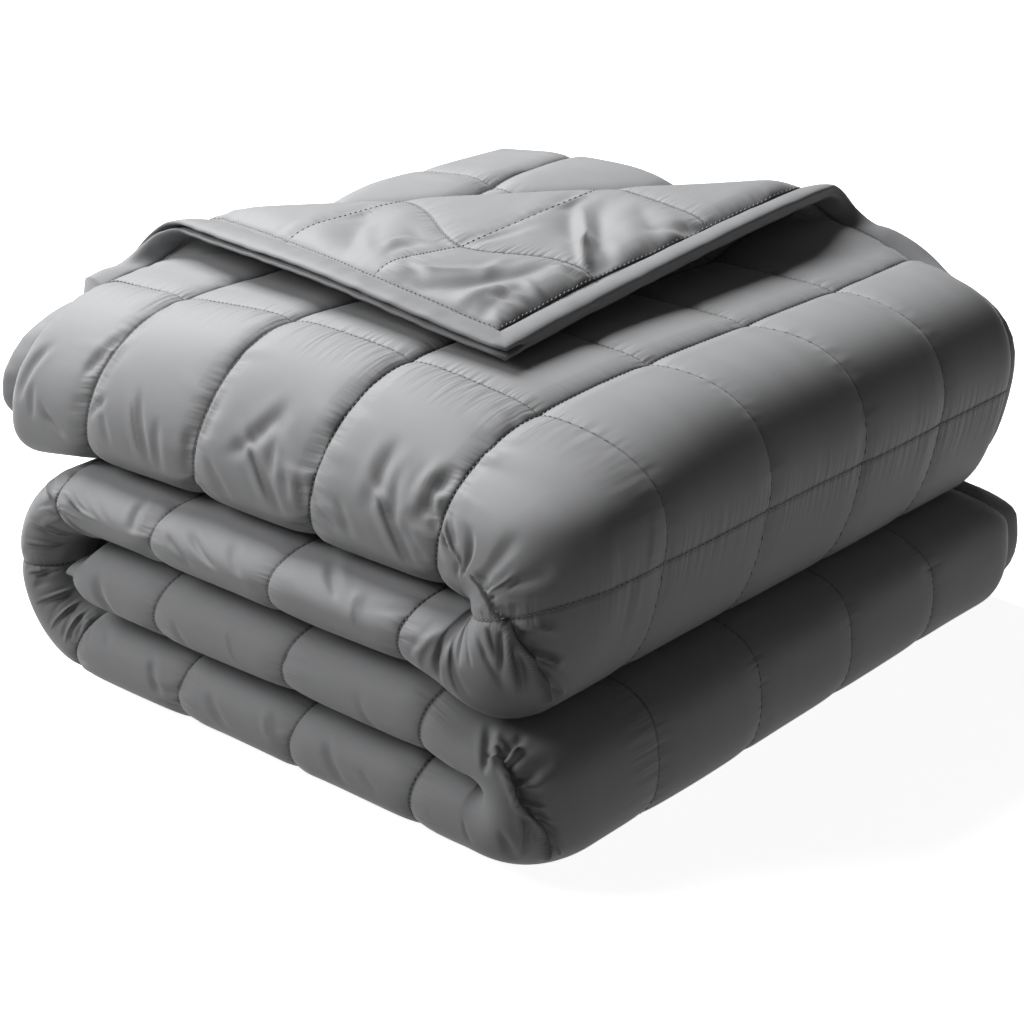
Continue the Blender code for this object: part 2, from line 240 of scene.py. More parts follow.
def section(along):
    """The doubled blanket's section at each place along it: x and z of its upper and lower ply's
    quilted side, and the shape of its nose as (y, tip, upper round, lower round)."""
    rails = np.zeros((4,) + along.shape)
    nose = np.zeros((4,) + along.shape)
    last = len(STRETCHES) - 1
    for number, (_, start, end, lay, turn, after) in enumerate(STRETCHES.values()):
        here = np.ones(along.shape, bool)
        if number > 0:
            here &= along > start
        if number < last:
            here &= along <= end
        place = along[here]
        if turn is None:
            x = lay.x_start + math.copysign(1.0, lay.x_end - lay.x_start) * (place - start)
            rails[:, here] = [x, np.full_like(x, lay.upper_z), x, np.full_like(x, lay.lower_z)]
            nose[:, here] = np.array(nose_shape(lay))[:, None]
            continue
        share = (place - start) / (end - start)
        from_above = lay.upper_z + lay.lower_z > 2 * turn.pivot_z
        angle = math.pi * (0.5 - share if from_above else share - 0.5)
        outline = (np.abs(np.cos(angle)) ** turn.square
                   + np.abs(np.sin(angle)) ** turn.square) ** (-1 / turn.square)
        for ply, (level, next_level) in enumerate(((lay.upper_z, after.upper_z),
                                                   (lay.lower_z, after.lower_z))):
            radius = mix(abs(level - turn.pivot_z), abs(next_level - turn.pivot_z), ease(share))
            radius = (radius + TURN_BULB * np.sin(math.pi * share)) * outline
            rails[2 * ply, here] = turn.pivot_x + turn.side * radius * np.cos(angle)
            rails[2 * ply + 1, here] = turn.pivot_z + radius * np.sin(angle)
        for row, (one, other) in enumerate(zip(nose_shape(lay), nose_shape(after))):
            nose[row, here] = mix(one, other, ease(share))
    return rails, nose


def profile(from_hem, is_upper, nose, height):
    """Where a ply runs at a distance from its hem: y and level on its quilted side, and y and
    level on its lining side. A level is 1 on the upper ply's quilted side, 0 on the lower's."""
    nose_y, tip, upper_round, lower_round = nose
    slit = PLY_GAP / 2 / height
    outer = np.where(is_upper, 1.0, 0.0)
    inner = np.where(is_upper, 0.5 + slit, 0.5 - slit)
    soft = np.where(is_upper, upper_round, lower_round)
    straight = np.maximum(SEAM_ROWS_Y[-1] - nose_y - soft, 0.0)
    rise = np.abs(outer - tip) * height
    curve = math.pi / 2 * np.sqrt((soft ** 2 + rise ** 2) / 2)
    travelled = (from_hem - NOSE_START) / NOSE_ARC * (straight + curve)
    angle = math.pi / 2 * np.clip((travelled - straight) / curve, 0.0, 1.0)
    bend_y = nose_y + soft
    lining_tip_y = nose_y + height / 2
    in_bend = travelled > straight
    y = np.where(in_bend, bend_y - soft * np.sin(angle), SEAM_ROWS_Y[-1] - travelled)
    lining_y = np.where(in_bend, bend_y - (bend_y - lining_tip_y) * np.sin(angle), y)
    y = np.where(from_hem <= NOSE_START, HEM_Y - from_hem, y)
    lining_y = np.where(from_hem <= NOSE_START, y, lining_y)
    turned = 1 - np.cos(angle)
    return y, mix(outer, tip, turned), lining_y, mix(inner, 0.5, turned)


def from_crease(x, y):
    """How far a place lies beyond the crease, and how far along it."""
    plan_x, plan_y = x - CREASE_START.x, y - CREASE_START.y
    return (plan_x * CREASE_OUT.x + plan_y * CREASE_OUT.y,
            plan_x * CREASE_DIR.x + plan_y * CREASE_DIR.y)


def turn_corner(x, y, through, top_z):
    """The top ply beyond the crease, turned up and over. Before the crease it thins."""
    beyond, beside = from_crease(x, y)
    nearing = ease(1 + beyond / CORNER_EASE)
    ply = mix((LAYS[0].upper_z - LAYS[0].lower_z - PLY_GAP) / 2, CORNER_PLY, nearing)
    offset = (through - 0.5) * ply
    angle = np.clip(beyond / CORNER_RADIUS, 0.0, math.pi)
    laid_back = np.maximum(beyond - math.pi * CORNER_RADIUS, 0.0)
    out = (CORNER_RADIUS - offset) * np.sin(angle) - laid_back + np.minimum(beyond, 0.0)
    z = top_z - ply / 2 + CORNER_RADIUS - (CORNER_RADIUS - offset) * np.cos(angle)
    share = np.minimum(laid_back / CORNER_REACH, 1.0)
    z += CORNER_ARCH * np.sin(math.pi * share) - CORNER_SETTLE * ease(share)
    z += CORNER_LIFT * nearing * ease(beside / CREASE_LENGTH) * (1 - share)
    pull = np.sin(math.pi / 2 * share)
    spot_x = CREASE_START.x + CREASE_DIR.x * beside + CREASE_OUT.x * out + CORNER_PULL.x * pull
    spot_y = CREASE_START.y + CREASE_DIR.y * beside + CREASE_OUT.y * out + CORNER_PULL.y * pull
    return spot_x, spot_y, z


def settle(x, y, z):
    """Let the folded stack sink and swell a little. The floor stays where it is."""
    top = ease((z - TOP_MIDDLE_Z) / (LAYS[0].upper_z - TOP_MIDDLE_Z))
    aside = np.hypot(x - CROWN_PLACE.x, y - CROWN_PLACE.y) / CROWN_REACH
    near = ease((x - NEAR_CORNER.x) / NEAR_REACH) * ease((NEAR_CORNER.y - y) / NEAR_REACH)
    rise = top * (CROWN * np.exp(-aside ** 2) - NEAR_DROOP * near)
    side = ease((x - SIDE_X) / SIDE_REACH)
    rise = rise - BELLY * side * np.maximum(0.0, 1 - np.abs(z - NOTCH_Z) / BELLY_HEIGHT)
    pull = HEM_PULL * side * ease((y - HEM_PULL_Y) / HEM_PULL_REACH)
    pull = pull * ease((z - NOTCH_Z) / HEM_PULL_RISE + 1)
    plump = PLUMP * ease(from_crease(x, y)[0] / PLUMP_REACH)
    return np.stack([x - CENTRE_X, y - pull - CENTRE_Y, z * (1 + plump) + rise], axis=-1)


def fold(along, across, through):
    """Points of the flat blanket, laid in the stack."""
    aside = np.hypot(along - PULLED_PLACE.x, across - PULLED_PLACE.y) / PULLED_REACH
    pulled = np.exp(-aside ** 2)
    along, across = along + PULLED.x * pulled, across + PULLED.y * pulled
    is_upper = across <= MIDDLE
    from_hem = np.where(is_upper, across, FLAT_WIDTH - across)
    rails, nose = section(along)
    height = np.hypot(rails[0] - rails[2], rails[1] - rails[3])
    y, level, lining_y, lining_level = profile(from_hem, is_upper, nose, height)
    y = mix(lining_y, y, through)
    level = mix(lining_level, level, through)
    near_end = ease((along - FLAT_LENGTH + INNER_END_REACH) / INNER_END_REACH)
    level = 0.5 + (level - 0.5) * mix(1.0, INNER_END_PINCH, near_end)
    x = mix(rails[2], rails[0], level)
    z = mix(rails[3], rails[1], level)
    on_top = along <= TOP_LAY_END
    z = z - on_top * END_DROOP * (1 - level) * ease(1 - (x - LAYS[0].x_start) / END_REACH)
    beyond = from_crease(x, y)[0]
    swell = BARED_SWELL * ease((beyond - SWELL_START) / SWELL_REACH)
    z = z + (on_top & ~is_upper) * swell * (1 - through ** 2 / 2)
    turned = on_top & is_upper & (from_hem <= NOSE_START) & (beyond > -CORNER_EASE)
    if turned.any():
        x[turned], y[turned], z[turned] = turn_corner(x[turned], y[turned], through[turned],
                                                      rails[1][turned])
    return settle(x, y, z)


def ply_thickness(along, across):
    """The thickness of one ply at each place."""
    rails = section(along)[0]
    ply = (np.hypot(rails[0] - rails[2], rails[1] - rails[3]) - PLY_GAP) / 2
    beyond = from_crease(rails[0], HEM_Y - across)[0]
    turned = (along <= TOP_LAY_END) & (across <= NOSE_START)
    return np.where(turned, mix(ply, CORNER_PLY, ease(1 + beyond / CORNER_EASE)), ply)


# ---- The filled squares ----------------------------------------------------------------------

HALF_SQUARE = 0.055      # from a seam to where the filling is full
FILL_ROUND = 6.5         # how flat a filled square is in its middle
FILL_STEEP = 0.72        # and how softly it rises from its seams
EDGE_ROUND = 3           # the same, for the rise from the binding
EDGE_STEEP = 0.8


def nearest_seam(places, seams):
    """The distance to the nearest seam."""
    seams = np.array(seams)
    after = np.clip(np.searchsorted(seams, places), 1, len(seams) - 1)
    return np.minimum(np.abs(places - seams[after - 1]), np.abs(places - seams[after]))


def fullness(distance):
    """0 on a seam, and 1 where the filling is full."""
    short = 1 - np.clip(distance / HALF_SQUARE, 0.0, 1.0)
    return (1 - short ** FILL_ROUND) ** FILL_STEEP


def seam_distances(along, across):
    """The distances to the nearest seam across and along. There is no filling in the binding."""
    to_cross = nearest_seam(along, [BOUND] + SEAMS_ALONG + [FLAT_LENGTH + HALF_SQUARE])
    to_row = nearest_seam(across, SEAMS_ACROSS)
    to_cross = np.where(along < BOUND, 0.0, to_cross)
    to_row = np.where(np.minimum(across, FLAT_WIDTH - across) < BOUND, 0.0, to_row)
    return to_cross, to_row


def quilt_depth(along, across):
    """How far a side of the quilt sinks at each place, as a share of the ply."""
    to_cross, to_row = seam_distances(along, across)
    sink = np.where(np.abs(along - TURN_SEAM) < HALF_SQUARE, TURN_SINK, CROSS_SINK)
    depth = sink * (1 - fullness(to_cross)) + ROW_SINK * (1 - fullness(to_row))
    to_edge = np.minimum(np.minimum(along, FLAT_LENGTH - along),
                         np.minimum(across, FLAT_WIDTH - across))
    short = 1 - np.clip((to_edge - BOUND) / EDGE_RISE, 0.0, 1.0)
    risen = (1 - short ** EDGE_ROUND) ** EDGE_STEEP
    return mix(0.5 - EDGE_HALF / ply_thickness(along, across), depth, risen)


def seam_cells(places, seams):
    """Places as a count of squares, with a whole number on each seam."""
    seams = [2 * seams[0] - seams[1]] + list(seams) + [2 * seams[-1] - seams[-2]]
    return np.interp(places, seams, np.arange(len(seams)) - 1.0)


# ---- Puckers and creases ---------------------------------------------------------------------

PUCKER_WAVE = 0.0085     # between two puckers at a seam
PUCKER_PEAK = 0.0045     # they are highest this far from it
NOSE_PEAK = 0.0072       # and this far on the nose, where the cloth is gathered
PUCKER_TOP = 0.0005      # how high they are on the flat of a lay
PUCKER_NOSE = 0.0019     # and on its nose
PUCKER_HEM = 0.0016      # and inside the binding
PUCKER_CREST = 0.8       # how sharp their crests are: the lower, the broader
PUCKER_SLANT = 0.5       # how far they lean
SLANT_WAVE = 0.060       # and over what distance that changes
CLUSTER_WAVE = 0.028     # they stand in clusters, this far apart
CLUSTER_LEVEL, CLUSTER_DEPTH = 0.45, 0.75  # how high these are, and how much that changes
CLUSTER_LEAST = 0.12
NOSE_FULL = 0.050        # this far from its tip the nose's puckers start to fade
NOSE_FADE = 0.110        # and over this distance they do
LINE_ROWS = 3.0          # between the rows of the noise that the two sides of a seam take
NORMAL_STEP = 0.0008     # between the places that tell which way the cloth faces
LEAST_NORMAL = 1e-12     # a shorter one has no direction
ROUNDING = 1e-6          # places and counts that differ by less are the same
SWELL_WAVE = 0.100       # between the slow swells of the filling
SWELL_HEIGHT = 0.0016
CROSS_SEED, ROW_SEED, SWELL_SEED, BINDING_SEED = 11, 31, 21, 51
SEAM_FADE = 0.007        # creases fade out this close to a seam
NOSE_SIDE = 0.110        # the nose reaches this far from its tip
SLIT_START = 0.0012      # deeper than this a crease is a slit, painted with shade
SLIT_SPAN = 0.0030       # and its painted shade is darkest so much deeper
BOUND_SHADE = 0.75       # painted shade in the valley beside the binding
BOUND_SHADE_REACH = 0.0016


def gathered(to_seam, beside, line, peak, seed):
    """Puckers that run square away from a seam, from -1 to 1. beside is the place along it, and
    line tells one side of one seam from another."""
    slant = PUCKER_SLANT * soft_noise(beside / SLANT_WAVE, line, seed)
    wave = soft_noise((beside + slant * to_seam) / PUCKER_WAVE, line, seed + 1)
    cluster = CLUSTER_LEVEL + CLUSTER_DEPTH * soft_noise(beside / CLUSTER_WAVE, line, seed + 2)
    near = to_seam / peak * np.exp(1 - to_seam / peak)
    crests = np.abs(wave) ** PUCKER_CREST * np.sign(wave)
    return crests * np.maximum(cluster, CLUSTER_LEAST) * near


def puckers(along, across):
    """Short ridges square to the seams, which gather the cloth."""
    to_cross, to_row = seam_distances(along, across)
    on_nose = ease(1 - (np.abs(across - MIDDLE) - NOSE_FULL) / NOSE_FADE)
    height = mix(PUCKER_TOP, PUCKER_NOSE, on_nose)
    peak = mix(PUCKER_PEAK, NOSE_PEAK, on_nose)
    cross_line = LINE_ROWS * np.floor(2 * seam_cells(along, SEAMS_ALONG))
    row_line = LINE_ROWS * np.floor(2 * seam_cells(across, SEAMS_ACROSS))
    at_cross = gathered(to_cross, across, cross_line, peak, CROSS_SEED)
    at_row = gathered(to_row, along, row_line, peak, ROW_SEED)
    return (at_cross * np.where(along < HALF_SQUARE, PUCKER_HEM, height)
            + at_row * np.where(across < HALF_SQUARE, PUCKER_HEM, height))


# A crease is a trough, or where its depth is negative a ridge. It starts deep and runs out at
# its end, and its middle stands aside of the straight line between them by its bend.
Crease = namedtuple("Crease", "along across end_along end_across width depth bend",
                    defaults=(0.0,))


def creases(*rows):
    """The creases of a table, from its rows of numbers."""
    return [Crease(*row) for row in rows]


# At +X, where the top lay turns down into the third.
NEAR_PINCH = creases(
    (0.495, 0.590, 0.492, 0.564, 0.0015, 0.0056, 0.001),
    (0.484, 0.591, 0.480, 0.548, 0.0040, -0.0022),
    (0.497, 0.567, 0.498, 0.541, 0.0034, -0.0020),
    (0.501, 0.580, 0.505, 0.547, 0.0034, 0.0020),
    (0.508, 0.583, 0.511, 0.554, 0.0034, -0.0018),
    (0.514, 0.577, 0.519, 0.541, 0.0015, 0.0056, -0.001),
    (0.526, 0.558, 0.531, 0.535, 0.0015, 0.0054),
    (0.535, 0.547, 0.544, 0.528, 0.0015, 0.0048),
    (0.466, 0.588, 0.454, 0.560, 0.0026, -0.0034, 0.003),
    (0.467, 0.594, 0.422, 0.554, 0.0026, -0.0030, -0.006),
    (0.455, 0.588, 0.431, 0.550, 0.0024, -0.0028, 0.004),
    (0.461, 0.590, 0.427, 0.553, 0.0024, 0.0030, -0.002),
    (0.507, 0.600, 0.536, 0.581, 0.0030, 0.0044),
    (0.517, 0.577, 0.545, 0.559, 0.0030, 0.0046, 0.003),
    (0.513, 0.582, 0.537, 0.575, 0.0024, -0.0030),
    (0.522, 0.604, 0.542, 0.572, 0.0026, -0.0028),
    (0.531, 0.624, 0.546, 0.592, 0.0030, -0.0022),
    (0.541, 0.640, 0.556, 0.600, 0.0034, -0.0020),
    (0.529, 0.566, 0.544, 0.556, 0.0022, -0.0030),
    (0.540, 0.547, 0.553, 0.530, 0.0022, -0.0026),
)
# At +X, where the floor lay turns up into the inner one.
LOW_PINCH = creases(
    (1.634, 0.612, 1.652, 0.642, 0.0022, -0.0032),
    (1.630, 0.615, 1.646, 0.642, 0.0026, 0.0030),
    (1.631, 0.623, 1.642, 0.621, 0.0018, -0.0022),
    (1.631, 0.626, 1.641, 0.631, 0.0018, -0.0024),
    (1.630, 0.628, 1.638, 0.638, 0.0018, -0.0022),
    (1.628, 0.622, 1.632, 0.641, 0.0015, 0.0050),
    (1.633, 0.636, 1.637, 0.648, 0.0020, -0.0026),
    (1.614, 0.620, 1.609, 0.632, 0.0015, 0.0048),
    (1.614, 0.622, 1.616, 0.641, 0.0030, -0.0030),
    (1.620, 0.631, 1.617, 0.650, 0.0034, -0.0018),
    (1.593, 0.625, 1.563, 0.631, 0.0024, -0.0034),
    (1.583, 0.631, 1.572, 0.642, 0.0022, -0.0034),
    (1.569, 0.612, 1.554, 0.637, 0.0030, -0.0020),
    (1.537, 0.592, 1.540, 0.614, 0.0034, -0.0018),
    (1.502, 0.594, 1.509, 0.606, 0.0030, -0.0016),
    # on its lip
    (1.592, 0.630, 1.579, 0.647, 0.0015, 0.0050),
    (1.600, 0.622, 1.592, 0.640, 0.0016, 0.0040),
    (1.575, 0.644, 1.562, 0.660, 0.0016, 0.0040),
    (1.585, 0.636, 1.573, 0.652, 0.0026, -0.0022),
    (1.606, 0.620, 1.601, 0.640, 0.0030, -0.0020),
)
# At -X, where the third lay turns down into the floor lay.
END_TURN = creases(
    (0.949, 0.594, 0.986, 0.642, 0.0022, 0.0045),
    (0.952, 0.597, 0.914, 0.594, 0.0019, 0.0032),
    (0.965, 0.614, 0.984, 0.641, 0.0026, -0.0011),
    (0.929, 0.572, 0.978, 0.602, 0.0021, 0.0042, 0.002),
    (0.933, 0.608, 0.903, 0.600, 0.0018, 0.0024),
    (0.922, 0.604, 0.952, 0.620, 0.0018, 0.0032),
    (0.913, 0.602, 0.941, 0.621, 0.0022, -0.0010),
    (0.902, 0.602, 0.932, 0.625, 0.0024, -0.0008),
    (0.889, 0.602, 0.924, 0.630, 0.0028, -0.0008),
    (0.985, 0.588, 0.946, 0.586, 0.0021, 0.0029),
)
# From the hollow out to the silhouette the wrap's folds run between the same two places across. A
# row gives where a fold starts and ends along the cloth, its width and its depth.
WRAP_ACROSS, WRAP_END = 0.572, 0.602
WRAP_FOLDS = [Crease(along, WRAP_ACROSS, end, WRAP_END, width, depth)
              for along, end, width, depth in (
    (0.983, 1.003, 0.0024, 0.0048), (0.998, 0.999, 0.0040, -0.0010),
    (1.014, 1.029, 0.0024, 0.0051), (1.034, 1.036, 0.0044, -0.0010),
    (1.051, 1.060, 0.0024, 0.0050), (1.069, 1.072, 0.0044, -0.0010),
    (1.088, 1.089, 0.0024, 0.0050), (1.098, 1.117, 0.0024, -0.0010),
    (1.112, 1.120, 0.0022, 0.0046), (1.121, 1.141, 0.0024, -0.0010),
    (1.132, 1.143, 0.0022, 0.0040), (1.150, 1.160, 0.0024, 0.0024),
    (1.139, 1.182, 0.0024, -0.0008), (1.164, 1.182, 0.0026, -0.0009),
    (1.185, 1.206, 0.0030, -0.0007),
)]
# Along the nose of the top lay.
TOP_NOSE = creases(
    (0.040, 0.541, 0.033, 0.580, 0.0042, -0.0030, 0.003),
    (0.044, 0.566, 0.051, 0.592, 0.0032, -0.0022),
    (0.107, 0.512, 0.091, 0.564, 0.0042, -0.0024, 0.003),
    (0.112, 0.524, 0.103, 0.570, 0.0034, 0.0024),
    (0.119, 0.563, 0.102, 0.588, 0.0034, -0.0024),
    (0.067, 0.587, 0.096, 0.602, 0.0032, -0.0022),
    (0.258, 0.562, 0.284, 0.524, 0.0053, -0.0030, 0.002),
    (0.264, 0.557, 0.296, 0.601, 0.0046, 0.0035, -0.002),
    (0.266, 0.555, 0.307, 0.605, 0.0028, -0.0027, -0.002),
    (0.289, 0.566, 0.283, 0.531, 0.0041, -0.0023),
    (0.286, 0.548, 0.303, 0.575, 0.0037, 0.0023),
    (0.294, 0.556, 0.311, 0.591, 0.0032, -0.0019),
    (0.325, 0.597, 0.312, 0.561, 0.0032, -0.0022),
    (0.350, 0.595, 0.325, 0.580, 0.0030, -0.0022),
    (0.250, 0.600, 0.226, 0.573, 0.0034, -0.0022),
    (0.220, 0.563, 0.225, 0.522, 0.0069, -0.0022),
    (0.379, 0.563, 0.377, 0.522, 0.0055, -0.0030),
    (0.382, 0.562, 0.417, 0.612, 0.0046, 0.0035, -0.002),
    (0.386, 0.560, 0.425, 0.612, 0.0028, -0.0030, -0.002),
    (0.398, 0.570, 0.388, 0.535, 0.0039, -0.0022),
    (0.419, 0.563, 0.428, 0.522, 0.0055, -0.0032),
    (0.414, 0.558, 0.416, 0.528, 0.0041, 0.0026),
    (0.428, 0.552, 0.462, 0.597, 0.0039, 0.0032, -0.003),
    (0.457, 0.594, 0.416, 0.569, 0.0028, -0.0027, 0.004),
    (0.425, 0.593, 0.405, 0.574, 0.0030, -0.0023),
    (0.364, 0.592, 0.349, 0.573, 0.0032, -0.0019),
    (0.212, 0.586, 0.208, 0.560, 0.0032, -0.0022),
    (0.232, 0.606, 0.199, 0.583, 0.0030, -0.0022),
    (0.150, 0.560, 0.170, 0.600, 0.0039, 0.0023),
    (0.156, 0.556, 0.178, 0.603, 0.0032, -0.0022),
    (0.132, 0.590, 0.117, 0.560, 0.0034, -0.0019),
    (0.184, 0.594, 0.176, 0.559, 0.0037, -0.0019),
    (0.084, 0.604, 0.052, 0.571, 0.0034, -0.0022),
)
# Along the noses of the lower lays.
LOW_NOSES = creases(
    (0.812, 0.596, 0.837, 0.618, 0.0028, -0.0030),
    (0.789, 0.604, 0.819, 0.626, 0.0030, -0.0033),
    (0.679, 0.620, 0.704, 0.644, 0.0034, -0.0027),
    (0.762, 0.606, 0.780, 0.630, 0.0040, -0.0021),
    (0.655, 0.600, 0.664, 0.632, 0.0040, 0.0024),
    (0.600, 0.590, 0.590, 0.630, 0.0040, 0.0036),
    (0.584, 0.592, 0.578, 0.622, 0.0036, -0.0033),
    (0.568, 0.588, 0.566, 0.624, 0.0034, 0.0042),
    (0.868, 0.610, 0.876, 0.640, 0.0036, -0.0024),
    (1.238, 0.580, 1.252, 0.606, 0.0034, -0.0027),
    (1.300, 0.586, 1.318, 0.608, 0.0034, -0.0024),
    (1.352, 0.580, 1.362, 0.600, 0.0034, 0.0021),
    (1.412, 0.584, 1.430, 0.612, 0.0036, -0.0027),
    (1.446, 0.590, 1.462, 0.606, 0.0030, -0.0021),
    (1.730, 0.580, 1.742, 0.616, 0.0040, -0.0021),
    (1.852, 0.590, 1.866, 0.622, 0.0040, 0.0021),
    (1.905, 0.584, 1.915, 0.612, 0.0036, -0.0021),
    (1.984, 0.586, 1.998, 0.620, 0.0040, -0.0024),
)
# On the lining side of the turned corner.
FLAP_CREASES = creases(
    (0.173, 0.098, 0.122, 0.036, 0.0042, 0.0060, 0.003),
    (0.132, 0.047, 0.094, 0.006, 0.0034, 0.0037),
    (0.190, 0.100, 0.140, 0.036, 0.0130, -0.0067),
    (0.144, 0.040, 0.110, 0.004, 0.0110, -0.0030),
    (0.180, 0.122, 0.130, 0.055, 0.0110, -0.0053),
    (0.093, 0.034, 0.101, 0.012, 0.0026, 0.0023),
    (0.018, 0.116, 0.070, 0.060, 0.0085, 0.0023, -0.006),
    (0.002, 0.112, 0.036, 0.055, 0.0060, -0.0023, -0.004),
    (0.030, 0.060, 0.106, 0.038, 0.0070, -0.0027, -0.004),
    (0.016, 0.048, 0.062, 0.032, 0.0070, 0.0016),
    (0.020, 0.026, 0.084, 0.038, 0.0080, -0.0018),
    (0.042, 0.144, 0.084, 0.139, 0.0044, -0.0016, 0.004),
    (0.050, 0.155, 0.086, 0.148, 0.0040, 0.0012, 0.003),
    (0.082, 0.072, 0.040, 0.056, 0.0050, 0.0012),
    (0.066, 0.226, 0.003, 0.160, 0.0150, -0.0045, 0.004),
    (0.054, 0.200, 0.024, 0.150, 0.0050, 0.0012),
    (0.144, 0.046, 0.128, 0.014, 0.0044, -0.0019),
    (0.197, 0.066, 0.172, 0.014, 0.0080, -0.0037),
    (0.184, 0.031, 0.202, 0.006, 0.0044, -0.0021),
    (0.024, 0.094, 0.036, 0.124, 0.0040, -0.0016),
    (0.112, 0.130, 0.150, 0.105, 0.0060, -0.0024),
    (0.100, 0.138, 0.074, 0.172, 0.0060, -0.0023),
    (0.046, 0.021, 0.040, 0.044, 0.0030, 0.0019),
    (0.060, 0.021, 0.066, 0.042, 0.0030, 0.0018),
    (0.033, 0.021, 0.028, 0.038, 0.0026, 0.0015),
)
QUILTED_CREASES = NEAR_PINCH + LOW_PINCH + END_TURN + WRAP_FOLDS + TOP_NOSE + LOW_NOSES

CREASE_SIDES = 1.6       # how steep a crease's sides are
CREASE_LIPS = 0.22       # how high its lips are, as a share of its depth
LIPS_PLACE, LIPS_WIDTH = 2.1, 0.9         # where they are and how wide, in its own widths
CREASE_FULL, CREASE_HALF = 0.35, 0.5      # as shares of its length: its middle, and half of it
CREASE_REACH = 5         # it ends this far from its line, in its own widths


def creased(along, across, lines):
    """How far each place moves out of its own surface at the creases."""
    shift = np.zeros(along.shape)
    for crease in lines:
        length = math.hypot(crease.end_along - crease.along, crease.end_across - crease.across)
        step_along = (crease.end_along - crease.along) / length
        step_across = (crease.end_across - crease.across) / length
        reach = length + CREASE_REACH * crease.width
        near = np.nonzero((np.abs(along - crease.along) < reach)
                          & (np.abs(across - crease.across) < reach))[0]
        from_along, from_across = along[near] - crease.along, across[near] - crease.across
        share = (from_along * step_along + from_across * step_across) / length
        aside = from_across * step_along - from_along * step_across
        aside = np.abs(aside - 4 * crease.bend * share * (1 - share)) / crease.width
        strength = np.exp(-((share - CREASE_FULL) / CREASE_HALF) ** 4)
        lips = CREASE_LIPS * np.exp(-((aside - LIPS_PLACE) / LIPS_WIDTH) ** 2)
        shift[near] -= crease.depth * strength * (np.exp(-aside ** CREASE_SIDES) - lips)
    return shift


# Where a turn closes on the noses beside it, its own cloth makes a lip over a dark gap. Each line
# is a row of places (along, across), with the turn on its right.
UPPER_LIP = ((0.465, 0.590), (0.480, 0.5925), (0.493, 0.592), (0.505, 0.588), (0.513, 0.576),
             (0.520, 0.567), (0.526, 0.558), (0.534, 0.548), (0.541, 0.540), (0.549, 0.529))
LOWER_LIP = ((1.636, 0.622), (1.627, 0.621), (1.612, 0.619), (1.601, 0.621), (1.592, 0.629),
             (1.580, 0.640), (1.570, 0.646), (1.560, 0.653))
LIP_HEIGHT = 0.0046      # how far it stands out
LIP_REACH, LIP_EDGE = 0.0046, 0.0010      # how softly it sinks into the turn, and into the gap
LIP_FADE = 0.15          # it fades in and out over this share of its line
GAP_DEPTH = 0.0080       # and this is how deep the gap beside it goes
GAP_PLACE, GAP_REACH = 0.0026, 0.0023     # from the line to the middle of the gap, and its width


def lip(along, across, line):
    """A lip on the right of a line, and the gap on its left."""
    aside = np.ones(along.shape)
    fade = np.zeros(along.shape)
    for number, (start, end) in enumerate(zip(line, line[1:])):
        start, step = np.array(start), np.array(end) - np.array(start)
        share = ((along - start[0]) * step[0] + (across - start[1]) * step[1]) / (step @ step)
        share = np.clip(share, 0.0, 1.0)
        off_along = along - start[0] - share * step[0]
        off_across = across - start[1] - share * step[1]
        distance = np.hypot(off_along, off_across)
        nearer = distance < np.abs(aside)
        aside = np.where(nearer, distance * np.sign(off_along * step[1] - off_across * step[0]),
                         aside)
        place = (number + share) / (len(line) - 1)
        fade = np.where(nearer, ease(place / LIP_FADE) * ease((1 - place) / LIP_FADE), fade)
    raised = LIP_HEIGHT * np.exp(np.minimum(aside, 0.0) / LIP_EDGE
                                 - np.maximum(aside, 0.0) / LIP_REACH)
    sunk = GAP_DEPTH * np.exp(-((aside + GAP_PLACE) / GAP_REACH) ** 2)
    return fade * (raised - sunk)


def swells(along, across):
    """Slow unevenness of the filling."""
    return SWELL_HEIGHT * soft_noise(along / SWELL_WAVE, across / SWELL_WAVE, SWELL_SEED)


def crease_shift(along, across, quilted):
    """How far the creases and lips move each place out of its own surface."""
    shift = np.zeros(along.shape)
    shift[quilted] = creased(along[quilted], across[quilted], QUILTED_CREASES)
    shift[~quilted] = creased(along[~quilted], across[~quilted], FLAP_CREASES)
    shift *= ease(np.minimum(*seam_distances(along, across)) / SEAM_FADE)
    for line in (UPPER_LIP, LOWER_LIP):
        shift[quilted] += lip(along[quilted], across[quilted], line)
    return shift


def surface_shift(along, across, quilted):
    """How far each place moves out of its own surface."""
    return (puckers(along, across) + swells(along, across)
            + crease_shift(along, across, quilted))


def shaded(along, across, quilted):
    """How much painted shade each place takes: 1 deep in a slit, where no light reaches, and less
    in the valley beside the binding."""
    depth = -crease_shift(along, across, quilted)
    dark = np.clip((depth - SLIT_START) / SLIT_SPAN, 0.0, 1.0)
    to_edge = np.minimum(along, np.minimum(across, FLAT_WIDTH - across))
    beside = BOUND_SHADE * np.exp(-((to_edge - BOUND) / BOUND_SHADE_REACH) ** 2)
    return np.maximum(dark, beside)


def rested(points):
    """Points that lie on the floor where they would sink into it."""
    points[:, 2] = np.maximum(points[:, 2], 0.0)
    return points


def outward(along, across, through):
    """Unit vectors that point out of the folded cloth."""
    step = NORMAL_STEP
    far = fold(along + step, across, through) - fold(along - step, across, through)
    wide = fold(along, across + step, through) - fold(along, across - step, through)
    normal = np.cross(far, wide)
    normal /= np.maximum(np.linalg.norm(normal, axis=1, keepdims=True), LEAST_NORMAL)
    return normal * np.where(through > 0.5, 1.0, -1.0)[:, None]


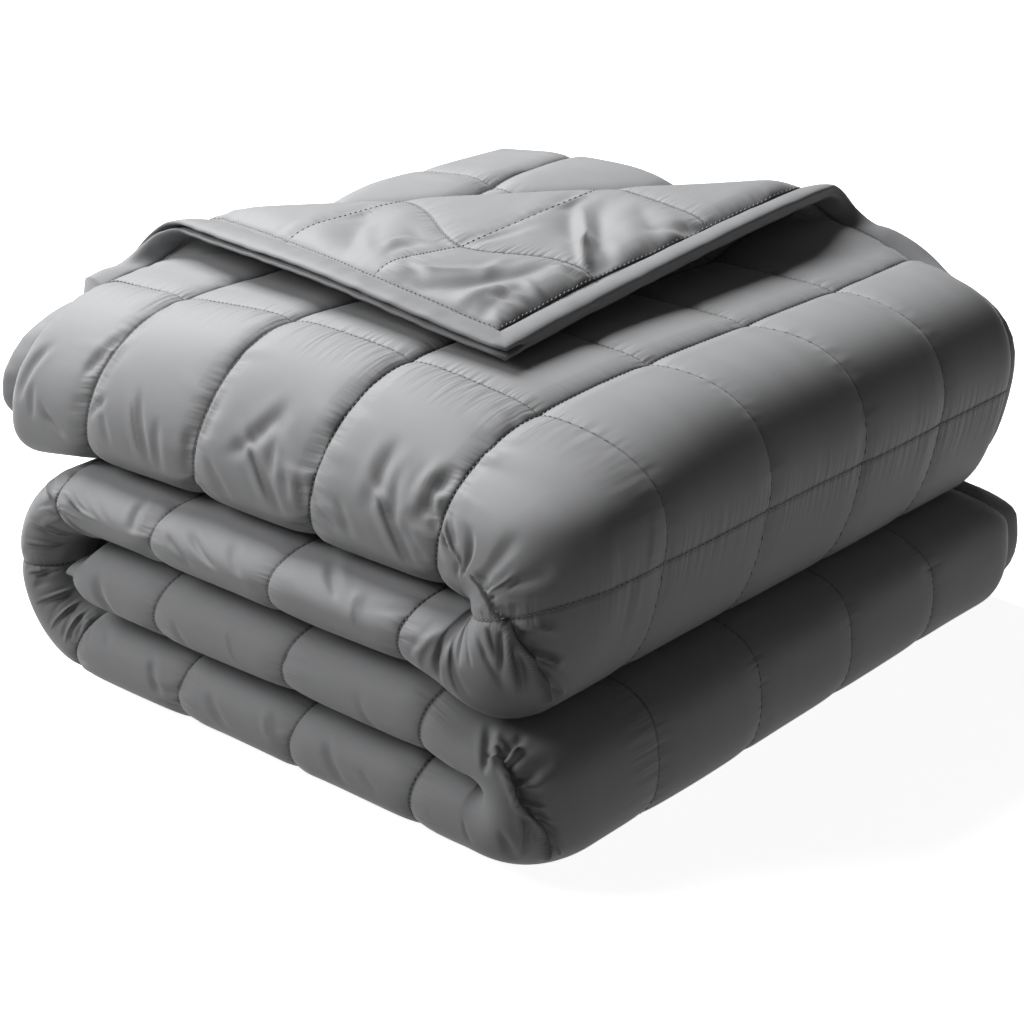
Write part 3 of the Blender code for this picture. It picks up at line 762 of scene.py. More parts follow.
def cloth(along, across, quilted, flat_lining=False):
    """Points of the blanket's quilted or lining side, filled, puckered and folded. A flat lining
    lies unfilled inside the doubled blanket."""
    depth = quilt_depth(along, across)
    through = np.where(quilted, 1 - depth, depth)
    shift = surface_shift(along, across, quilted)
    if flat_lining:
        at_hem = np.minimum(across, FLAT_WIDTH - across) < ROUNDING
        through = np.where(quilted | at_hem, through, 0.0)
        shift = np.where(quilted, shift, 0.0)
    moved = outward(along, across, through) * shift[:, None]
    # A slit on the nose never stands out of it, however sharply the cloth is turned there.
    sinks = (shift < 0) & (np.abs(across - MIDDLE) < NOSE_SIDE)
    moved[:, 1] = np.where(sinks, np.maximum(moved[:, 1], 0.0), moved[:, 1])
    return rested(fold(along, across, through) + moved)


# ---- Making meshes ---------------------------------------------------------------------------

SEAM_LINES = (0.0011, 0.0026, 0.0048)    # lines of the mesh on each side of a seam
NOSE_STEP = 0.74         # on the noses and in the turns the lines are closer, by this share
TURN_STEP = 0.66
BESIDE_TURN = 0.010      # and so they are this far beside a turn
PINCH_STEP = 0.60        # and closer again where a turn closes on the noses beside it
PINCHES_ALONG = ((0.460, 0.556), (1.556, 1.640))
PINCHES_ACROSS = {"upper_turn": (0.528, 0.606), "lower_turn": (0.612, 0.664)}
SIDE_STEP = 1.4          # in the turns' sides they are farther apart, by this share
UNDER_STEP = 2.0         # and in the lower ply of the top lay
LINING_STEP = 0.050      # and on a lining that is hidden
LINING_HEM = 0.060


def steps_between(stops, step):
    """Lines from the first stop to the last, at most a step apart, with one on each stop."""
    lines = [stops[0]]
    for start, end in zip(stops, stops[1:]):
        count = max(1, math.ceil((end - start) / step - ROUNDING))
        lines += [mix(start, end, (number + 1) / count) for number in range(count)]
    return lines


def seam_steps(stops, step, windows=()):
    """As steps_between, with closer lines beside each stop, and in each window."""
    lines = []
    for start, end in zip(stops, stops[1:]):
        near = [place for place in SEAM_LINES if place < (end - start) / 3]
        lines += [start] + [start + place for place in near[:-1]]
        if near:
            start, end = start + near[-1], end - near[-1]
        breaks = [edge for window in windows for edge in window if start < edge < end]
        breaks = [start] + breaks + [end]
        for low, high in zip(breaks, breaks[1:]):
            inside = any(window[0] < (low + high) / 2 < window[1] for window in windows)
            lines += steps_between([low, high], step * (PINCH_STEP if inside else 1.0))[:-1]
        lines += [end] + [end + near[-1] - place for place in reversed(near[:-1])]
        if near:
            end += near[-1]
    return lines + [stops[-1]]


def lay_grid(mesh, columns, rows, through):
    """A flat grid of cloth with its lines at the given places."""
    made = bmesh.ops.create_grid(mesh, x_segments=len(columns) - 1, y_segments=len(rows) - 1,
                                 size=1.0)
    for vert in made["verts"]:
        column = round((vert.co.x + 1) / 2 * (len(columns) - 1))
        row = round((vert.co.y + 1) / 2 * (len(rows) - 1))
        vert.co = (columns[column], rows[row], through)


def rim_edges(mesh, axis, place):
    """The open edges on a line of the flat cloth, without those that join its two sides."""
    return [edge for edge in mesh.edges if edge.is_boundary
            and all(abs(vert.co[axis] - place) < ROUNDING for vert in edge.verts)
            and abs(edge.verts[0].co.z - edge.verts[1].co.z) < 0.5]


def match_rows(mesh, column, rows):
    """Give the lining side the same points as the quilted side at one end."""
    for edge in [edge for edge in rim_edges(mesh, 0, column) if edge.verts[0].co.z < 0.5]:
        low, high = sorted(vert.co.y for vert in edge.verts)
        missing = sum(low + ROUNDING < row < high - ROUNDING for row in rows)
        if missing:
            bmesh.ops.bisect_edges(mesh, edges=[edge], cuts=missing)
    rim = {vert for edge in rim_edges(mesh, 0, column) for vert in edge.verts}
    lining = sorted((vert for vert in rim if vert.co.z < 0.5), key=lambda vert: vert.co.y)
    for vert, row in zip(lining, rows):
        vert.co.y = row


def flat_body(columns, rows, lining_rows):
    """A length of the blanket laid flat: its quilted side, its lining side, and closed sides."""
    mesh = bmesh.new()
    lay_grid(mesh, columns, rows, 1.0)
    lay_grid(mesh, columns, lining_rows, 0.0)
    for column in (columns[0], columns[-1]):
        match_rows(mesh, column, rows)
    for axis, places in ((1, (rows[0], rows[-1])), (0, (columns[0], columns[-1]))):
        for place in places:
            bmesh.ops.bridge_loops(mesh, edges=rim_edges(mesh, axis, place))
    bmesh.ops.recalc_face_normals(mesh, faces=mesh.faces)
    return mesh


def numbers_of(items, name, width):
    found = np.empty(len(items) * width)
    items.foreach_get(name, found)
    return found.reshape(-1, width)


def to_object(name, mesh):
    data = bpy.data.meshes.new(name)
    mesh.to_mesh(data)
    mesh.free()
    piece = bpy.data.objects.new(name, data)
    bpy.context.scene.collection.objects.link(piece)
    return piece


def close_tubes(mesh, apart):
    """Join a grid's first and last lines, which lie on each other, and fill its open ends."""
    bmesh.ops.remove_doubles(mesh, verts=mesh.verts, dist=apart)
    bmesh.ops.holes_fill(mesh, edges=[edge for edge in mesh.edges if edge.is_boundary], sides=0)


def keep_cloth_maps(data, flat):
    """UV maps that follow the cloth: in metres, and in squares of the quilting."""
    corner_vertex = np.empty(len(data.loops), int)
    data.loops.foreach_get("vertex_index", corner_vertex)
    squares = np.stack([seam_cells(flat[:, 0], SEAMS_ALONG), seam_cells(flat[:, 1], SEAMS_ACROSS)],
                       axis=1)
    for name, places in (("cloth", flat[:, :2]), ("squares", squares)):
        layer = data.uv_layers.new(name=name)
        layer.uv.foreach_set("vector", places[corner_vertex].ravel())


def place_points(data, points):
    data.vertices.foreach_set("co", points.ravel())
    data.update()


# ---- Shader maths ----------------------------------------------------------------------------

class Number:
    """A socket of a material. An expression on it adds the Math nodes that work it out."""

    def __init__(self, paint, socket):
        self.paint, self.socket = paint, socket

    def math(self, operation, *values):
        return self.paint.math(operation, self, *values)

    def __add__(self, other):
        return self.math("ADD", other)

    def __sub__(self, other):
        return self.math("SUBTRACT", other)

    def __rsub__(self, other):
        return self.paint.math("SUBTRACT", other, self)

    def __mul__(self, other):
        return self.math("MULTIPLY", other)

    __radd__ = __add__
    __rmul__ = __mul__


class Paint:
    """One material, and the nodes that are added to it."""

    def __init__(self, name):
        self.material = bpy.data.materials.new(name)
        self.material.use_nodes = True
        self.tree = self.material.node_tree
        self.shader = self.tree.nodes["Principled BSDF"]

    def feed(self, socket, value):
        if isinstance(value, Number):
            self.tree.links.new(value.socket, socket)
        else:
            socket.default_value = value

    def node(self, kind, settings, sockets, output=0):
        made = self.tree.nodes.new(kind)
        for name, value in settings.items():
            setattr(made, name, value)
        for name, value in sockets.items():
            self.feed(made.inputs[name], value)
        return Number(self, made.outputs[output])

    def math(self, operation, *values):
        return self.node("ShaderNodeMath", {"operation": operation}, dict(enumerate(values)))

    def split(self, vector):
        made = self.node("ShaderNodeSeparateXYZ", {}, {0: vector})
        return [Number(self, socket) for socket in made.socket.node.outputs]

    def join(self, x, y):
        return self.node("ShaderNodeCombineXYZ", {}, {0: x, 1: y, 2: 0.0})

    def noise(self, u, v, detail):
        return self.node("ShaderNodeTexNoise", {"noise_dimensions": "2D"},
                         {"Vector": self.join(u, v), "Scale": 1.0, "Detail": detail})

    def set(self, **values):
        for name, value in values.items():
            self.feed(self.shader.inputs[name.replace("_", " ")], value)


# Waves for each metre of cloth, heights in metres, and shades as shares of the colour.
NAP_WAVES, NAP_HEIGHT = 1400.0, 0.00004
BRUSH_ALONG, BRUSH_ACROSS = 34.0, 60.0    # the brushed clouds
BRUSH_SHADE = 0.12
ROUGHNESS, BRUSH_ROUGHNESS = 0.58, 0.08
GATHER_LONG, GATHER_WIDE = 22.0, 210.0    # the fine gathers beside a seam
GATHER_HEIGHT = 0.0012
GATHER_FADE = 7.0        # the gathers fade over one part in so many of a square
CROSS_VALLEY_SHADE, CROSS_VALLEY_SHADE_FADE = 1.0, 60.0   # painted shade in a seam's valley, and how fast it fades
ROW_VALLEY_SHADE, ROW_VALLEY_SHADE_FADE = 0.7, 80.0
VALLEY_SHADE = 0.70        # how dark that painted shade can be
LEAST_SHADE = 0.10       # and the least light that is left in it
SLIT_SHADE = 0.88        # how dark the painted shade in a slit is


def cloth_finish(name, colour, quilted):
    """Smooth brushed microfibre: matt, with a soft sheen and a very fine nap."""
    paint = Paint(name)
    along, across = paint.split(paint.node("ShaderNodeUVMap", {"uv_map": "cloth"}, {}))[:2]
    nap = paint.noise(along * NAP_WAVES, across * NAP_WAVES, 2.0)
    brushed = paint.noise(along * BRUSH_ALONG, across * BRUSH_ACROSS, 3.0)
    height = nap * NAP_HEIGHT
    shade = 1 - BRUSH_SHADE / 2 + brushed * BRUSH_SHADE
    if quilted:
        u, v = paint.split(paint.node("ShaderNodeUVMap", {"uv_map": "squares"}, {}))[:2]
        from_cross = paint.math("PINGPONG", u, 0.5)
        from_row = paint.math("PINGPONG", v, 0.5)
        near_cross = paint.math("MAXIMUM", 1 - from_cross * GATHER_FADE, 0.0)
        near_row = paint.math("MAXIMUM", 1 - from_row * GATHER_FADE, 0.0)
        at_cross = paint.noise(along * GATHER_LONG, across * GATHER_WIDE, 1.0) * near_cross
        at_row = paint.noise(along * GATHER_WIDE, across * GATHER_LONG, 1.0) * near_row
        height = height + (at_cross + at_row) * GATHER_HEIGHT
        # Painted shade along the valley of each seam, where less light reaches
        line = paint.math("MAXIMUM", CROSS_VALLEY_SHADE - from_cross * CROSS_VALLEY_SHADE_FADE,
                          ROW_VALLEY_SHADE - from_row * ROW_VALLEY_SHADE_FADE)
        shade = shade - paint.math("MAXIMUM", line, 0.0) * VALLEY_SHADE
        # Painted shade in the slits and in the valley beside the binding, where little light
        # reaches
        dark = paint.node("ShaderNodeAttribute", {"attribute_name": "shaded"}, {}, 2)
        shade = paint.math("MAXIMUM", shade, LEAST_SHADE) * (1 - dark * SLIT_SHADE)
    grey = paint.node("ShaderNodeCombineColor", {}, {0: shade, 1: shade, 2: shade})
    shaded_colour = paint.node("ShaderNodeMix", {"data_type": "RGBA", "blend_type": "MULTIPLY"},
                               {0: 1.0, 6: (*colour, 1.0), 7: grey}, 2)
    normal = paint.node("ShaderNodeBump", {}, {"Height": height, "Distance": 1.0, "Strength": 1.0})
    paint.set(Base_Color=shaded_colour, Normal=normal,
              Roughness=ROUGHNESS + brushed * BRUSH_ROUGHNESS)
    paint.set(Sheen_Weight=0.25, Sheen_Roughness=0.35, Specular_IOR_Level=0.30)
    return paint.material


def thread_finish(colour):
    """Sewing thread."""
    paint = Paint("thread")
    paint.set(Base_Color=(*colour, 1.0), Roughness=0.6, Sheen_Weight=0.2)
    return paint.material


# ---- Settings --------------------------------------------------------------------------------

class BlanketSettings(bpy.types.PropertyGroup):
    """Sizes and colours that a user would change."""

    cloth_step: FloatProperty(
        name="Cloth step", description="Distance between the mesh lines where the cloth shows",
        default=0.0028, min=0.0015, max=0.01, unit="LENGTH")
    hidden_step: FloatProperty(
        name="Hidden step", description="Distance between the mesh lines inside the stack",
        default=0.008, min=0.004, max=0.05, unit="LENGTH")
    binding_thickness: FloatProperty(
        name="Binding thickness", description="Thickness of the binding over the edge",
        default=0.0115, min=0.002, max=0.014, unit="LENGTH")
    thread_radius: FloatProperty(
        name="Thread radius", description="Radius of the sewing thread",
        default=0.00045, min=0.0002, max=0.001, unit="LENGTH")
    stitch_length: FloatProperty(
        name="Stitch length", description="From one stitch to the next",
        default=0.0042, min=0.002, max=0.01, unit="LENGTH")
    cloth_colour: FloatVectorProperty(
        name="Cloth colour", description="Colour of the quilted cloth",
        default=(0.27, 0.272, 0.278), min=0.0, max=1.0, size=3, subtype="COLOR")
    binding_colour: FloatVectorProperty(
        name="Binding colour", description="Colour of the binding",
        default=(0.235, 0.237, 0.243), min=0.0, max=1.0, size=3, subtype="COLOR")
    thread_colour: FloatVectorProperty(
        name="Thread colour", description="Colour of the sewing thread",
        default=(0.20, 0.202, 0.207), min=0.0, max=1.0, size=3, subtype="COLOR")


class StageSettings(bpy.types.PropertyGroup):
    """Light, floor and camera."""

    key_power: FloatProperty(
        name="Key light", description="Power of the large soft light from the left and behind",
        default=98.0, min=0.0, unit="POWER")
    fill_power: FloatProperty(
        name="Fill light", description="Power of the weak light from the front",
        default=41.0, min=0.0, unit="POWER")
    sky: FloatProperty(
        name="Surroundings", description="Brightness of the white surroundings",
        default=0.07, min=0.0, max=3.0)
    floor_glow: FloatProperty(
        name="Floor glow", description="How much the pale floor is lit evenly, from no direction",
        default=0.90, min=0.0, max=3.0)
    lens: FloatProperty(
        name="Lens", description="Focal length of the camera, in millimetres",
        default=80.75, min=20.0, max=200.0)


# ---- Pieces ----------------------------------------------------------------------------------

# The lengths that the quilt is made in, which meet in seams. The last word tells whether the
# lining side shows, as it does where the corner is turned over and the ply below it is bared.
Length = namedtuple("Length", "name start end lining_shows")
LOWER_ROW = FLAT_WIDTH - NOSE_START
LENGTHS = (
    Length("top_outer", 0.0, SEAMS_ALONG[2], True),
    Length("top_inner", SEAMS_ALONG[2], SEAMS_ALONG[3], True),
    Length("top_under", 0.0, SEAMS_ALONG[3], True),
    Length("upper_turn", SEAMS_ALONG[3], SEAMS_ALONG[5], False),
    Length("third_lay", SEAMS_ALONG[5], SEAMS_ALONG[8], False),
    Length("end_turn", SEAMS_ALONG[8], SEAMS_ALONG[10], False),
    Length("floor_lay", SEAMS_ALONG[10], SEAMS_ALONG[13], False),
    Length("lower_turn", SEAMS_ALONG[13], SEAMS_ALONG[14], False),
    Length("inner_lay", SEAMS_ALONG[14], FLAT_LENGTH, False),
)
UPPER_STOPS = [0.0] + SEAMS_ACROSS[:5]    # the seams from the upper hem to the nose
NOSE_STOPS = [NOSE_START, LOWER_ROW]
LOWER_STOPS = [LOWER_ROW] + SEAMS_ACROSS[6:] + [FLAT_WIDTH]


def quilt_rows(length, fine, coarse):
    """The mesh lines across a length: fine over the nose and the top, coarser where hidden."""
    if length.name == "top_under":
        return seam_steps(LOWER_STOPS, UNDER_STEP * fine)
    if length.lining_shows:
        return seam_steps(UPPER_STOPS, fine) + seam_steps(NOSE_STOPS, NOSE_STEP * fine)[1:]
    upper = SIDE_STEP * fine if length.name in ("upper_turn", "end_turn") else coarse
    lower = SIDE_STEP * fine if length.name in ("lower_turn", "end_turn") else coarse
    pinch = [PINCHES_ACROSS[length.name]] if length.name in PINCHES_ACROSS else []
    return (seam_steps(UPPER_STOPS, upper) + seam_steps(NOSE_STOPS, NOSE_STEP * fine, pinch)[1:]
            + seam_steps(LOWER_STOPS, lower)[1:])


def quilt_columns(length, fine):
    """The mesh lines along a length, closer in the turns, where the cloth is gathered."""
    stops = [length.start] + [seam for seam in SEAMS_ALONG if length.start < seam < length.end]
    stops.append(length.end)
    pinches = PINCHES_ALONG if length.name in PINCHES_ACROSS else ()
    columns = []
    for start, end in zip(stops, stops[1:]):
        in_turn = any(stretch.turn and end > stretch.start - BESIDE_TURN
                      and start < stretch.end + BESIDE_TURN for stretch in STRETCHES.values())
        columns += seam_steps([start, end], fine * (TURN_STEP if in_turn else 1.0), pinches)[:-1]
    return columns + [length.end]


def lining_rows(length, rows):
    """The lines of the lining side: fine only where the cloth is turned back or bared."""
    if length.name == "top_under":
        return rows
    if length.lining_shows:
        return [row for row in rows if row <= NOSE_START] + [MIDDLE, LOWER_ROW]
    return steps_between([0.0, LINING_HEM, NOSE_START, MIDDLE, LOWER_ROW,
                          FLAT_WIDTH - LINING_HEM, FLAT_WIDTH], LINING_STEP)


def make_length(length, settings):
    """One length of the quilt, folded and filled."""
    fine, coarse = settings.cloth_step, settings.hidden_step
    columns = quilt_columns(length, fine * (UNDER_STEP if length.name == "top_under" else 1.0))
    rows = quilt_rows(length, fine, coarse)
    piece = to_object(length.name, flat_body(columns, rows, lining_rows(length, rows)))
    data = piece.data
    flat = numbers_of(data.vertices, "co", 3)
    keep_cloth_maps(data, flat)
    along, across, quilted = flat[:, 0], flat[:, 1], flat[:, 2] > 0.5
    # Painted shade, for the slits of the creases and the valley beside the binding
    dark = shaded(along, across, quilted)
    data.attributes.new("shaded", "FLOAT", "POINT").data.foreach_set("value", dark)
    place_points(data, cloth(along, across, quilted, not length.lining_shows))
    data.shade_smooth()
    return piece


class BLANKET_OT_quilt(bpy.types.Operator):
    """Make the quilted cloth in the lengths between its seams, and fold it into the stack"""

    bl_idname = "blanket.quilt"
    bl_label = "Quilted cloth"

    def execute(self, context):
        settings = context.scene.blanket
        finish = cloth_finish("quilted_cloth", settings.cloth_colour, True)
        for length in LENGTHS:
            piece = make_length(length, settings)
            piece.data.materials.append(finish)
            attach(piece, "root")
            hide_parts("blanket")
        return {"FINISHED"}


# The binding's section, from its seam on one side round the outside to its seam on the other:
# how far out from the quilt's edge, as a share of its width, how high, as a share of half its
# thickness, and how far in the slit between its two lips goes, where it has one.
BindingPoint = namedtuple("BindingPoint", "out rise slit", defaults=(0.0,))
BINDING_SECTION = [BindingPoint(*row) for row in (
    (-0.67, 0.36), (-0.65, 0.54), (-0.58, 0.68), (-0.42, 0.78), (-0.10, 0.88), (0.25, 0.96),
    (0.56, 0.96), (0.78, 0.84), (0.93, 0.64), (1.00, 0.40), (1.00, 0.24, 0.02),
    (0.99, 0.14, 0.12), (0.99, 0.08, 0.60), (0.99, 0.00, 0.95), (0.99, -0.16, 0.95),
    (0.99, -0.28, 0.60), (0.99, -0.34, 0.12), (1.00, -0.44, 0.02), (0.98, -0.66),
    (0.86, -0.86), (0.60, -0.98), (0.25, -1.00), (-0.10, -0.90), (-0.42, -0.78),
    (-0.58, -0.68), (-0.65, -0.54), (-0.67, -0.36),
)]
HEM_STEP, END_STEP = 0.0060, 0.0038       # between the mesh lines along the hems and the end
CORNER_PLACES = (0.0040, 0.0022, 0.0010)  # and the lines close to a corner, from it
CORNER_SLIT = 0.7        # the slit is open by this share where it starts, beside the corner
BINDING_GATHER = 0.0005  # how high the binding's own gathers are
GATHER_WAVE = 0.011


def binding_path():
    """The line of the quilt's edge as (along, across, out along, out across, how far the slit is
    open): one hem, the outer end, and the other hem."""
    hem = steps_between([BOUND] + SEAMS_ALONG + [FLAT_LENGTH - INNER_END_REACH], HEM_STEP)
    end = steps_between([BOUND] + SEAMS_ACROSS[1:-1] + [FLAT_WIDTH - BOUND], END_STEP)
    path = [(along, 0.0, 0, -1, 0) for along in reversed(hem)]
    path += [(along, 0.0, 0, -1, CORNER_SLIT) for along in CORNER_PLACES]
    path += [(0.0, 0.0, -1, -1, 1)]
    path += [(0.0, across, -1, 0, 1) for across in reversed(CORNER_PLACES)]
    path += [(0.0, across, -1, 0, 1) for across in end]
    path += [(0.0, FLAT_WIDTH - across, -1, 0, 1) for across in CORNER_PLACES]
    path += [(0.0, FLAT_WIDTH, -1, 1, 0)]
    path += [(along, FLAT_WIDTH, 0, 1, 0) for along in reversed(CORNER_PLACES)]
    return np.array(path + [(along, FLAT_WIDTH, 0, 1, 0) for along in hem])


def mitred(along, across, inside, out_along, out_across):
    """A point of the inner edge, kept on its own side of the corner's diagonal."""
    if out_along and not out_across:
        across = min(max(across, inside), FLAT_WIDTH - inside)
    elif out_across and not out_along:
        along = max(along, inside)
    return along, across


def flat_binding(thickness):
    """The binding laid flat round the quilt's edge: its section, carried along the path."""
    path = binding_path()
    mesh = bmesh.new()
    bmesh.ops.create_grid(mesh, x_segments=len(path) - 1, y_segments=len(BINDING_SECTION),
                          size=1.0)
    for vert in mesh.verts:
        along, across, out_along, out_across, opening = path[
            round((vert.co.x + 1) / 2 * (len(path) - 1))]
        number = round((vert.co.y + 1) / 2 * len(BINDING_SECTION))
        point = BINDING_SECTION[number % len(BINDING_SECTION)]
        out = (point.out - point.slit * opening) * BINDING_WIDTH
        place = along + out * out_along, across + out * out_across
        if out < 0:
            place = mitred(*place, -out, out_along, out_across)
        vert.co = (*place, point.rise * thickness / 2)
    close_tubes(mesh, ROUNDING)
    bmesh.ops.recalc_face_normals(mesh, faces=mesh.faces)
    return mesh


class BLANKET_OT_binding(bpy.types.Operator):
    """Fold the binding over the two long hems and the outer end"""

    bl_idname = "blanket.binding"
    bl_label = "Binding"

    def execute(self, context):
        settings = context.scene.blanket
        piece = to_object("binding_strip", flat_binding(settings.binding_thickness))
        data = piece.data
        flat = numbers_of(data.vertices, "co", 3)
        keep_cloth_maps(data, flat)
        along, across = flat[:, 0], flat[:, 1]
        through = 0.5 + flat[:, 2] / ply_thickness(along, across)
        gathers = BINDING_GATHER * soft_noise(along / GATHER_WAVE, across / GATHER_WAVE,
                                              BINDING_SEED)
        points = fold(along, across, through)
        points += outward(along, across, through) * gathers[:, None]
        place_points(data, rested(points))
        data.shade_smooth()
        data.materials.append(cloth_finish("binding_cloth", settings.binding_colour, False))
        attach(piece, "root")
        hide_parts("binding")
        return {"FINISHED"}


# A seam that is sewn with visible stitches: the line from one flat place to another, and whether
# it shows on the quilted side or on the lining side.
Stitched = namedtuple("Stitched", "along across end_along end_across quilted")
BINDING_SEWN = BOUND + 0.0010     # the binding's stitches lie just beside it
PAST_NOSE = 0.10                  # at the outer end they run so far past the nose
END_STITCHES = 0.40               # and on the lining side, which is turned out, so far across
# On the lining side the seams show up to the turned corner's fold. One on the hem would end here,
# and so would one on the outer end. The others are shorter by this share of their distance from it.
FOLD_ALONG, SHORTER_ALONG = SEAMS_ALONG[3], 1.1
FOLD_ACROSS, SHORTER_ACROSS = 0.36, 0.9


def stitched_lines():
    """Every line of stitches that shows on the folded blanket."""
    rows, crossings = [BINDING_SEWN] + SEAMS_ACROSS[1:], SEAMS_ALONG
    lines = [Stitched(BOUND, row, crossings[5], row, True) for row in rows[:5]]
    lines += [Stitched(0.0, row, TOP_LAY_END, row, True) for row in rows[5:6]]
    lines += [Stitched(STRETCHES["turn 1"].start, row, crossings[11], row, True)
              for row in rows[5:]]
    lines += [Stitched(crossings[13], row, crossings[14], row, True) for row in rows[5:]]
    lines += [Stitched(place, BOUND, place, rows[5], True) for place in crossings[:5]]
    lines += [Stitched(place, rows[4], place, rows[5], True) for place in crossings[5:]]
    lines += [Stitched(place, rows[5], place, rows[-1], True) for place in crossings[8:11]]
    lines += [Stitched(BINDING_SEWN, BOUND, BINDING_SEWN, MIDDLE + PAST_NOSE, True)]
    lines += [Stitched(BOUND, row, FOLD_ALONG - SHORTER_ALONG * row, row, False)
              for row in rows[:3]]
    lines += [Stitched(place, BOUND, place, FOLD_ACROSS - SHORTER_ACROSS * place, False)
              for place in crossings[:3]]
    lines += [Stitched(BINDING_SEWN, BOUND, BINDING_SEWN, END_STITCHES, False)]
    lines += [Stitched(BOUND, row, crossings[3], row, False) for row in rows[-4:]]
    lines += [Stitched(place, rows[-4], place, rows[-1], False) for place in crossings[:4]]
    return lines


THREAD_SIDES = 3
RINGS_APART = 1e-4                # rings are numbered, and numbers this near are the same
STITCH_SHAPE = (-1.6, 0.7, 0.7)   # how high the rings of each stitch's thread run, in its radii
THREAD_AHEAD = 0.001              # the thread is headed for the place this far on
Ring = namedtuple("Ring", "along across quilted height step_along step_across")


def thread_rings(line, stitch_length):
    """The rings that the thread of one line of stitches runs through."""
    length = math.hypot(line.end_along - line.along, line.end_across - line.across)
    step_along = (line.end_along - line.along) / length
    step_across = (line.end_across - line.across) / length
    count = max(2, round(length / stitch_length)) * len(STITCH_SHAPE)
    shares = [(number + 0.5) / count for number in range(count)]
    return [Ring(mix(line.along, line.end_along, share), mix(line.across, line.end_across, share),
                 line.quilted, STITCH_SHAPE[number % len(STITCH_SHAPE)], step_along, step_across)
            for number, share in enumerate(shares)]


def thread_tubes(threads):
    """A tube for each thread. A point's x is the number of its ring, and its y its corner's."""
    mesh = bmesh.new()
    before = 0
    for rings in threads:
        last = len(rings) - 1
        made = bmesh.ops.create_grid(mesh, x_segments=last, y_segments=THREAD_SIDES, size=1.0)
        for vert in made["verts"]:
            ring = round((vert.co.x + 1) / 2 * last)
            corner = round((vert.co.y + 1) / 2 * THREAD_SIDES) % THREAD_SIDES
            vert.co = (before + ring, corner, 0.0)
        before += len(rings)
    close_tubes(mesh, RINGS_APART)
    return mesh


def sewn(data, rings, radius):
    """Points of the threads, on the folded cloth."""
    ring, corner = np.rint(numbers_of(data.vertices, "co", 3)[:, :2]).astype(int).T
    along, across, quilted, height, step_along, step_across = np.array(rings)[ring].T
    quilted = quilted > 0.5
    points = cloth(along, across, quilted)
    ahead = cloth(along + step_along * THREAD_AHEAD, across + step_across * THREAD_AHEAD, quilted)
    ahead -= points
    ahead /= np.linalg.norm(ahead, axis=1, keepdims=True)
    up = outward(along, across, np.where(quilted, 1.0, 0.0))
    side = np.cross(ahead, up)
    angle = 2 * math.pi / THREAD_SIDES * corner
    points += up * (radius * (height + np.cos(angle)))[:, None]
    return points + side * (radius * np.sin(angle))[:, None]


def face_outwards(data):
    mesh = bmesh.new()
    mesh.from_mesh(data)
    bmesh.ops.recalc_face_normals(mesh, faces=mesh.faces)
    mesh.to_mesh(data)
    mesh.free()


class BLANKET_OT_stitching(bpy.types.Operator):
    """Sew the lines of stitches that show"""

    bl_idname = "blanket.stitching"
    bl_label = "Stitching"

    def execute(self, context):
        settings = context.scene.blanket
        threads = [thread_rings(line, settings.stitch_length) for line in stitched_lines()]
        piece = to_object("stitching", thread_tubes(threads))
        rings = [ring for thread in threads for ring in thread]
        place_points(piece.data, sewn(piece.data, rings, settings.thread_radius))
        face_outwards(piece.data)
        piece.data.shade_smooth()
        piece.data.materials.append(thread_finish(settings.thread_colour))
        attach(piece, "root")
        return {"FINISHED"}


FLOOR_HALF = 30.0        # from the middle of the floor to its edge
KEY_PLACE, KEY_SIZE = Vector((-1.6, 0.30, 2.0)), 1.3
FILL_PLACE, FILL_SIZE = Vector((-1.45, -1.55, 1.7)), 1.2
LIGHT_TARGET = Vector((0.0, 0.0, 0.12))
CAMERA_PLACE = Vector((1.0198 - CENTRE_X, -1.1571 - CENTRE_Y, 0.7669))
CAMERA_PITCH, CAMERA_YAW = math.radians(22.84), math.radians(40.91)
SENSOR_WIDTH = 36.0      # millimetres, as the lens


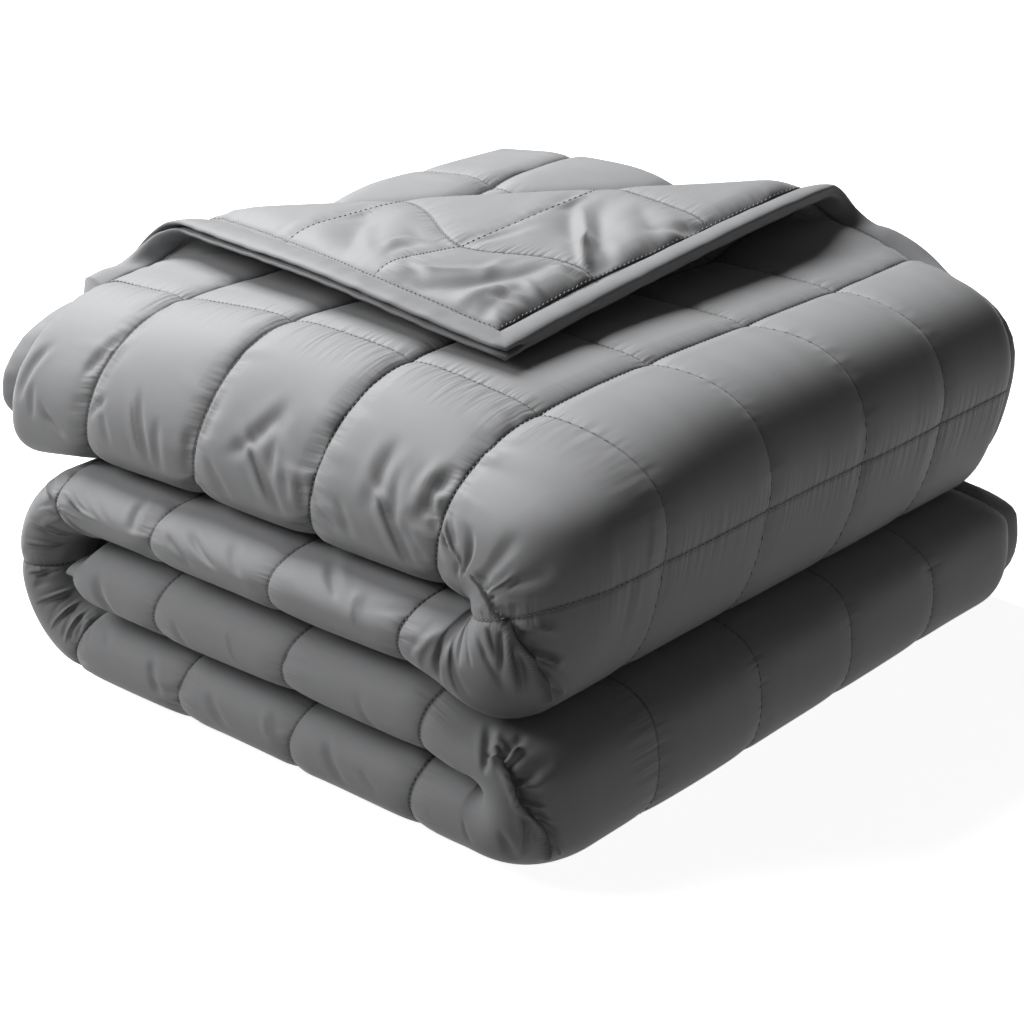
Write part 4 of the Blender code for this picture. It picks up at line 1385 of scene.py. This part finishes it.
class BLANKET_OT_stage(bpy.types.Operator):
    """Set up the white floor, the soft studio light and the camera"""

    bl_idname = "blanket.stage"
    bl_label = "Stage"

    def execute(self, context):
        settings = context.scene.blanket_stage
        scene = context.scene
        mesh = bmesh.new()
        bmesh.ops.create_grid(mesh, x_segments=1, y_segments=1, size=FLOOR_HALF)
        floor = to_object("floor", mesh)
        paint = Paint("white_floor")
        paint.set(Base_Color=(0.80, 0.80, 0.80, 1.0), Roughness=0.9)
        paint.set(Emission_Color=(1.0, 1.0, 1.0, 1.0), Emission_Strength=settings.floor_glow)
        floor.data.materials.append(paint.material)
        floor.visible_diffuse = False
        world = bpy.data.worlds.new("white_surroundings")
        world.use_nodes = True
        background = world.node_tree.nodes["Background"]
        background.inputs["Color"].default_value = (1.0, 1.0, 1.0, 1.0)
        background.inputs["Strength"].default_value = settings.sky
        scene.world = world
        self.add_light("key", settings.key_power, KEY_SIZE, KEY_PLACE)
        self.add_light("fill", settings.fill_power, FILL_SIZE, FILL_PLACE)
        self.add_camera(scene, settings.lens)
        scene.view_settings.view_transform = "Standard"
        return {"FINISHED"}

    def add_light(self, name, power, size, place):
        light = bpy.data.lights.new(name, "AREA")
        light.energy = power
        light.size = size
        lamp = bpy.data.objects.new(name, light)
        aim = (LIGHT_TARGET - place).to_track_quat("-Z", "Y")
        lamp.matrix_world = Matrix.Translation(place) @ aim.to_matrix().to_4x4()
        bpy.context.scene.collection.objects.link(lamp)

    def add_camera(self, scene, lens):
        data = bpy.data.cameras.new("camera")
        data.lens = lens
        data.sensor_width = SENSOR_WIDTH
        camera = bpy.data.objects.new("camera", data)
        camera.rotation_euler = (math.pi / 2 - CAMERA_PITCH, 0.0, CAMERA_YAW)
        camera.location = CAMERA_PLACE
        scene.collection.objects.link(camera)
        scene.camera = camera


class BLANKET_PT_panel(bpy.types.Panel):
    """The blanket's settings and pieces"""

    bl_idname = "BLANKET_PT_panel"
    bl_label = "Folded weighted blanket"
    bl_space_type = "VIEW_3D"
    bl_region_type = "UI"
    bl_category = "Blanket"

    def draw(self, context):
        for group in (context.scene.blanket, context.scene.blanket_stage):
            for name in group.__annotations__:
                self.layout.prop(group, name)
        for operator in OPERATORS:
            self.layout.operator(operator.bl_idname)


OPERATORS = (BLANKET_OT_quilt, BLANKET_OT_binding, BLANKET_OT_stitching, BLANKET_OT_stage)
CLASSES = (BlanketSettings, StageSettings) + OPERATORS + (BLANKET_PT_panel,)


def register():
    for item in CLASSES:
        bpy.utils.register_class(item)
    bpy.types.Scene.blanket = PointerProperty(type=BlanketSettings)
    bpy.types.Scene.blanket_stage = PointerProperty(type=StageSettings)


def unregister():
    del bpy.types.Scene.blanket_stage
    del bpy.types.Scene.blanket
    for item in reversed(CLASSES):
        bpy.utils.unregister_class(item)


def main():
    register()
    bpy.ops.blanket.quilt()
    bpy.ops.blanket.binding()
    bpy.ops.blanket.stitching()
    bpy.ops.blanket.stage()


if __name__ == "__main__":
    main()
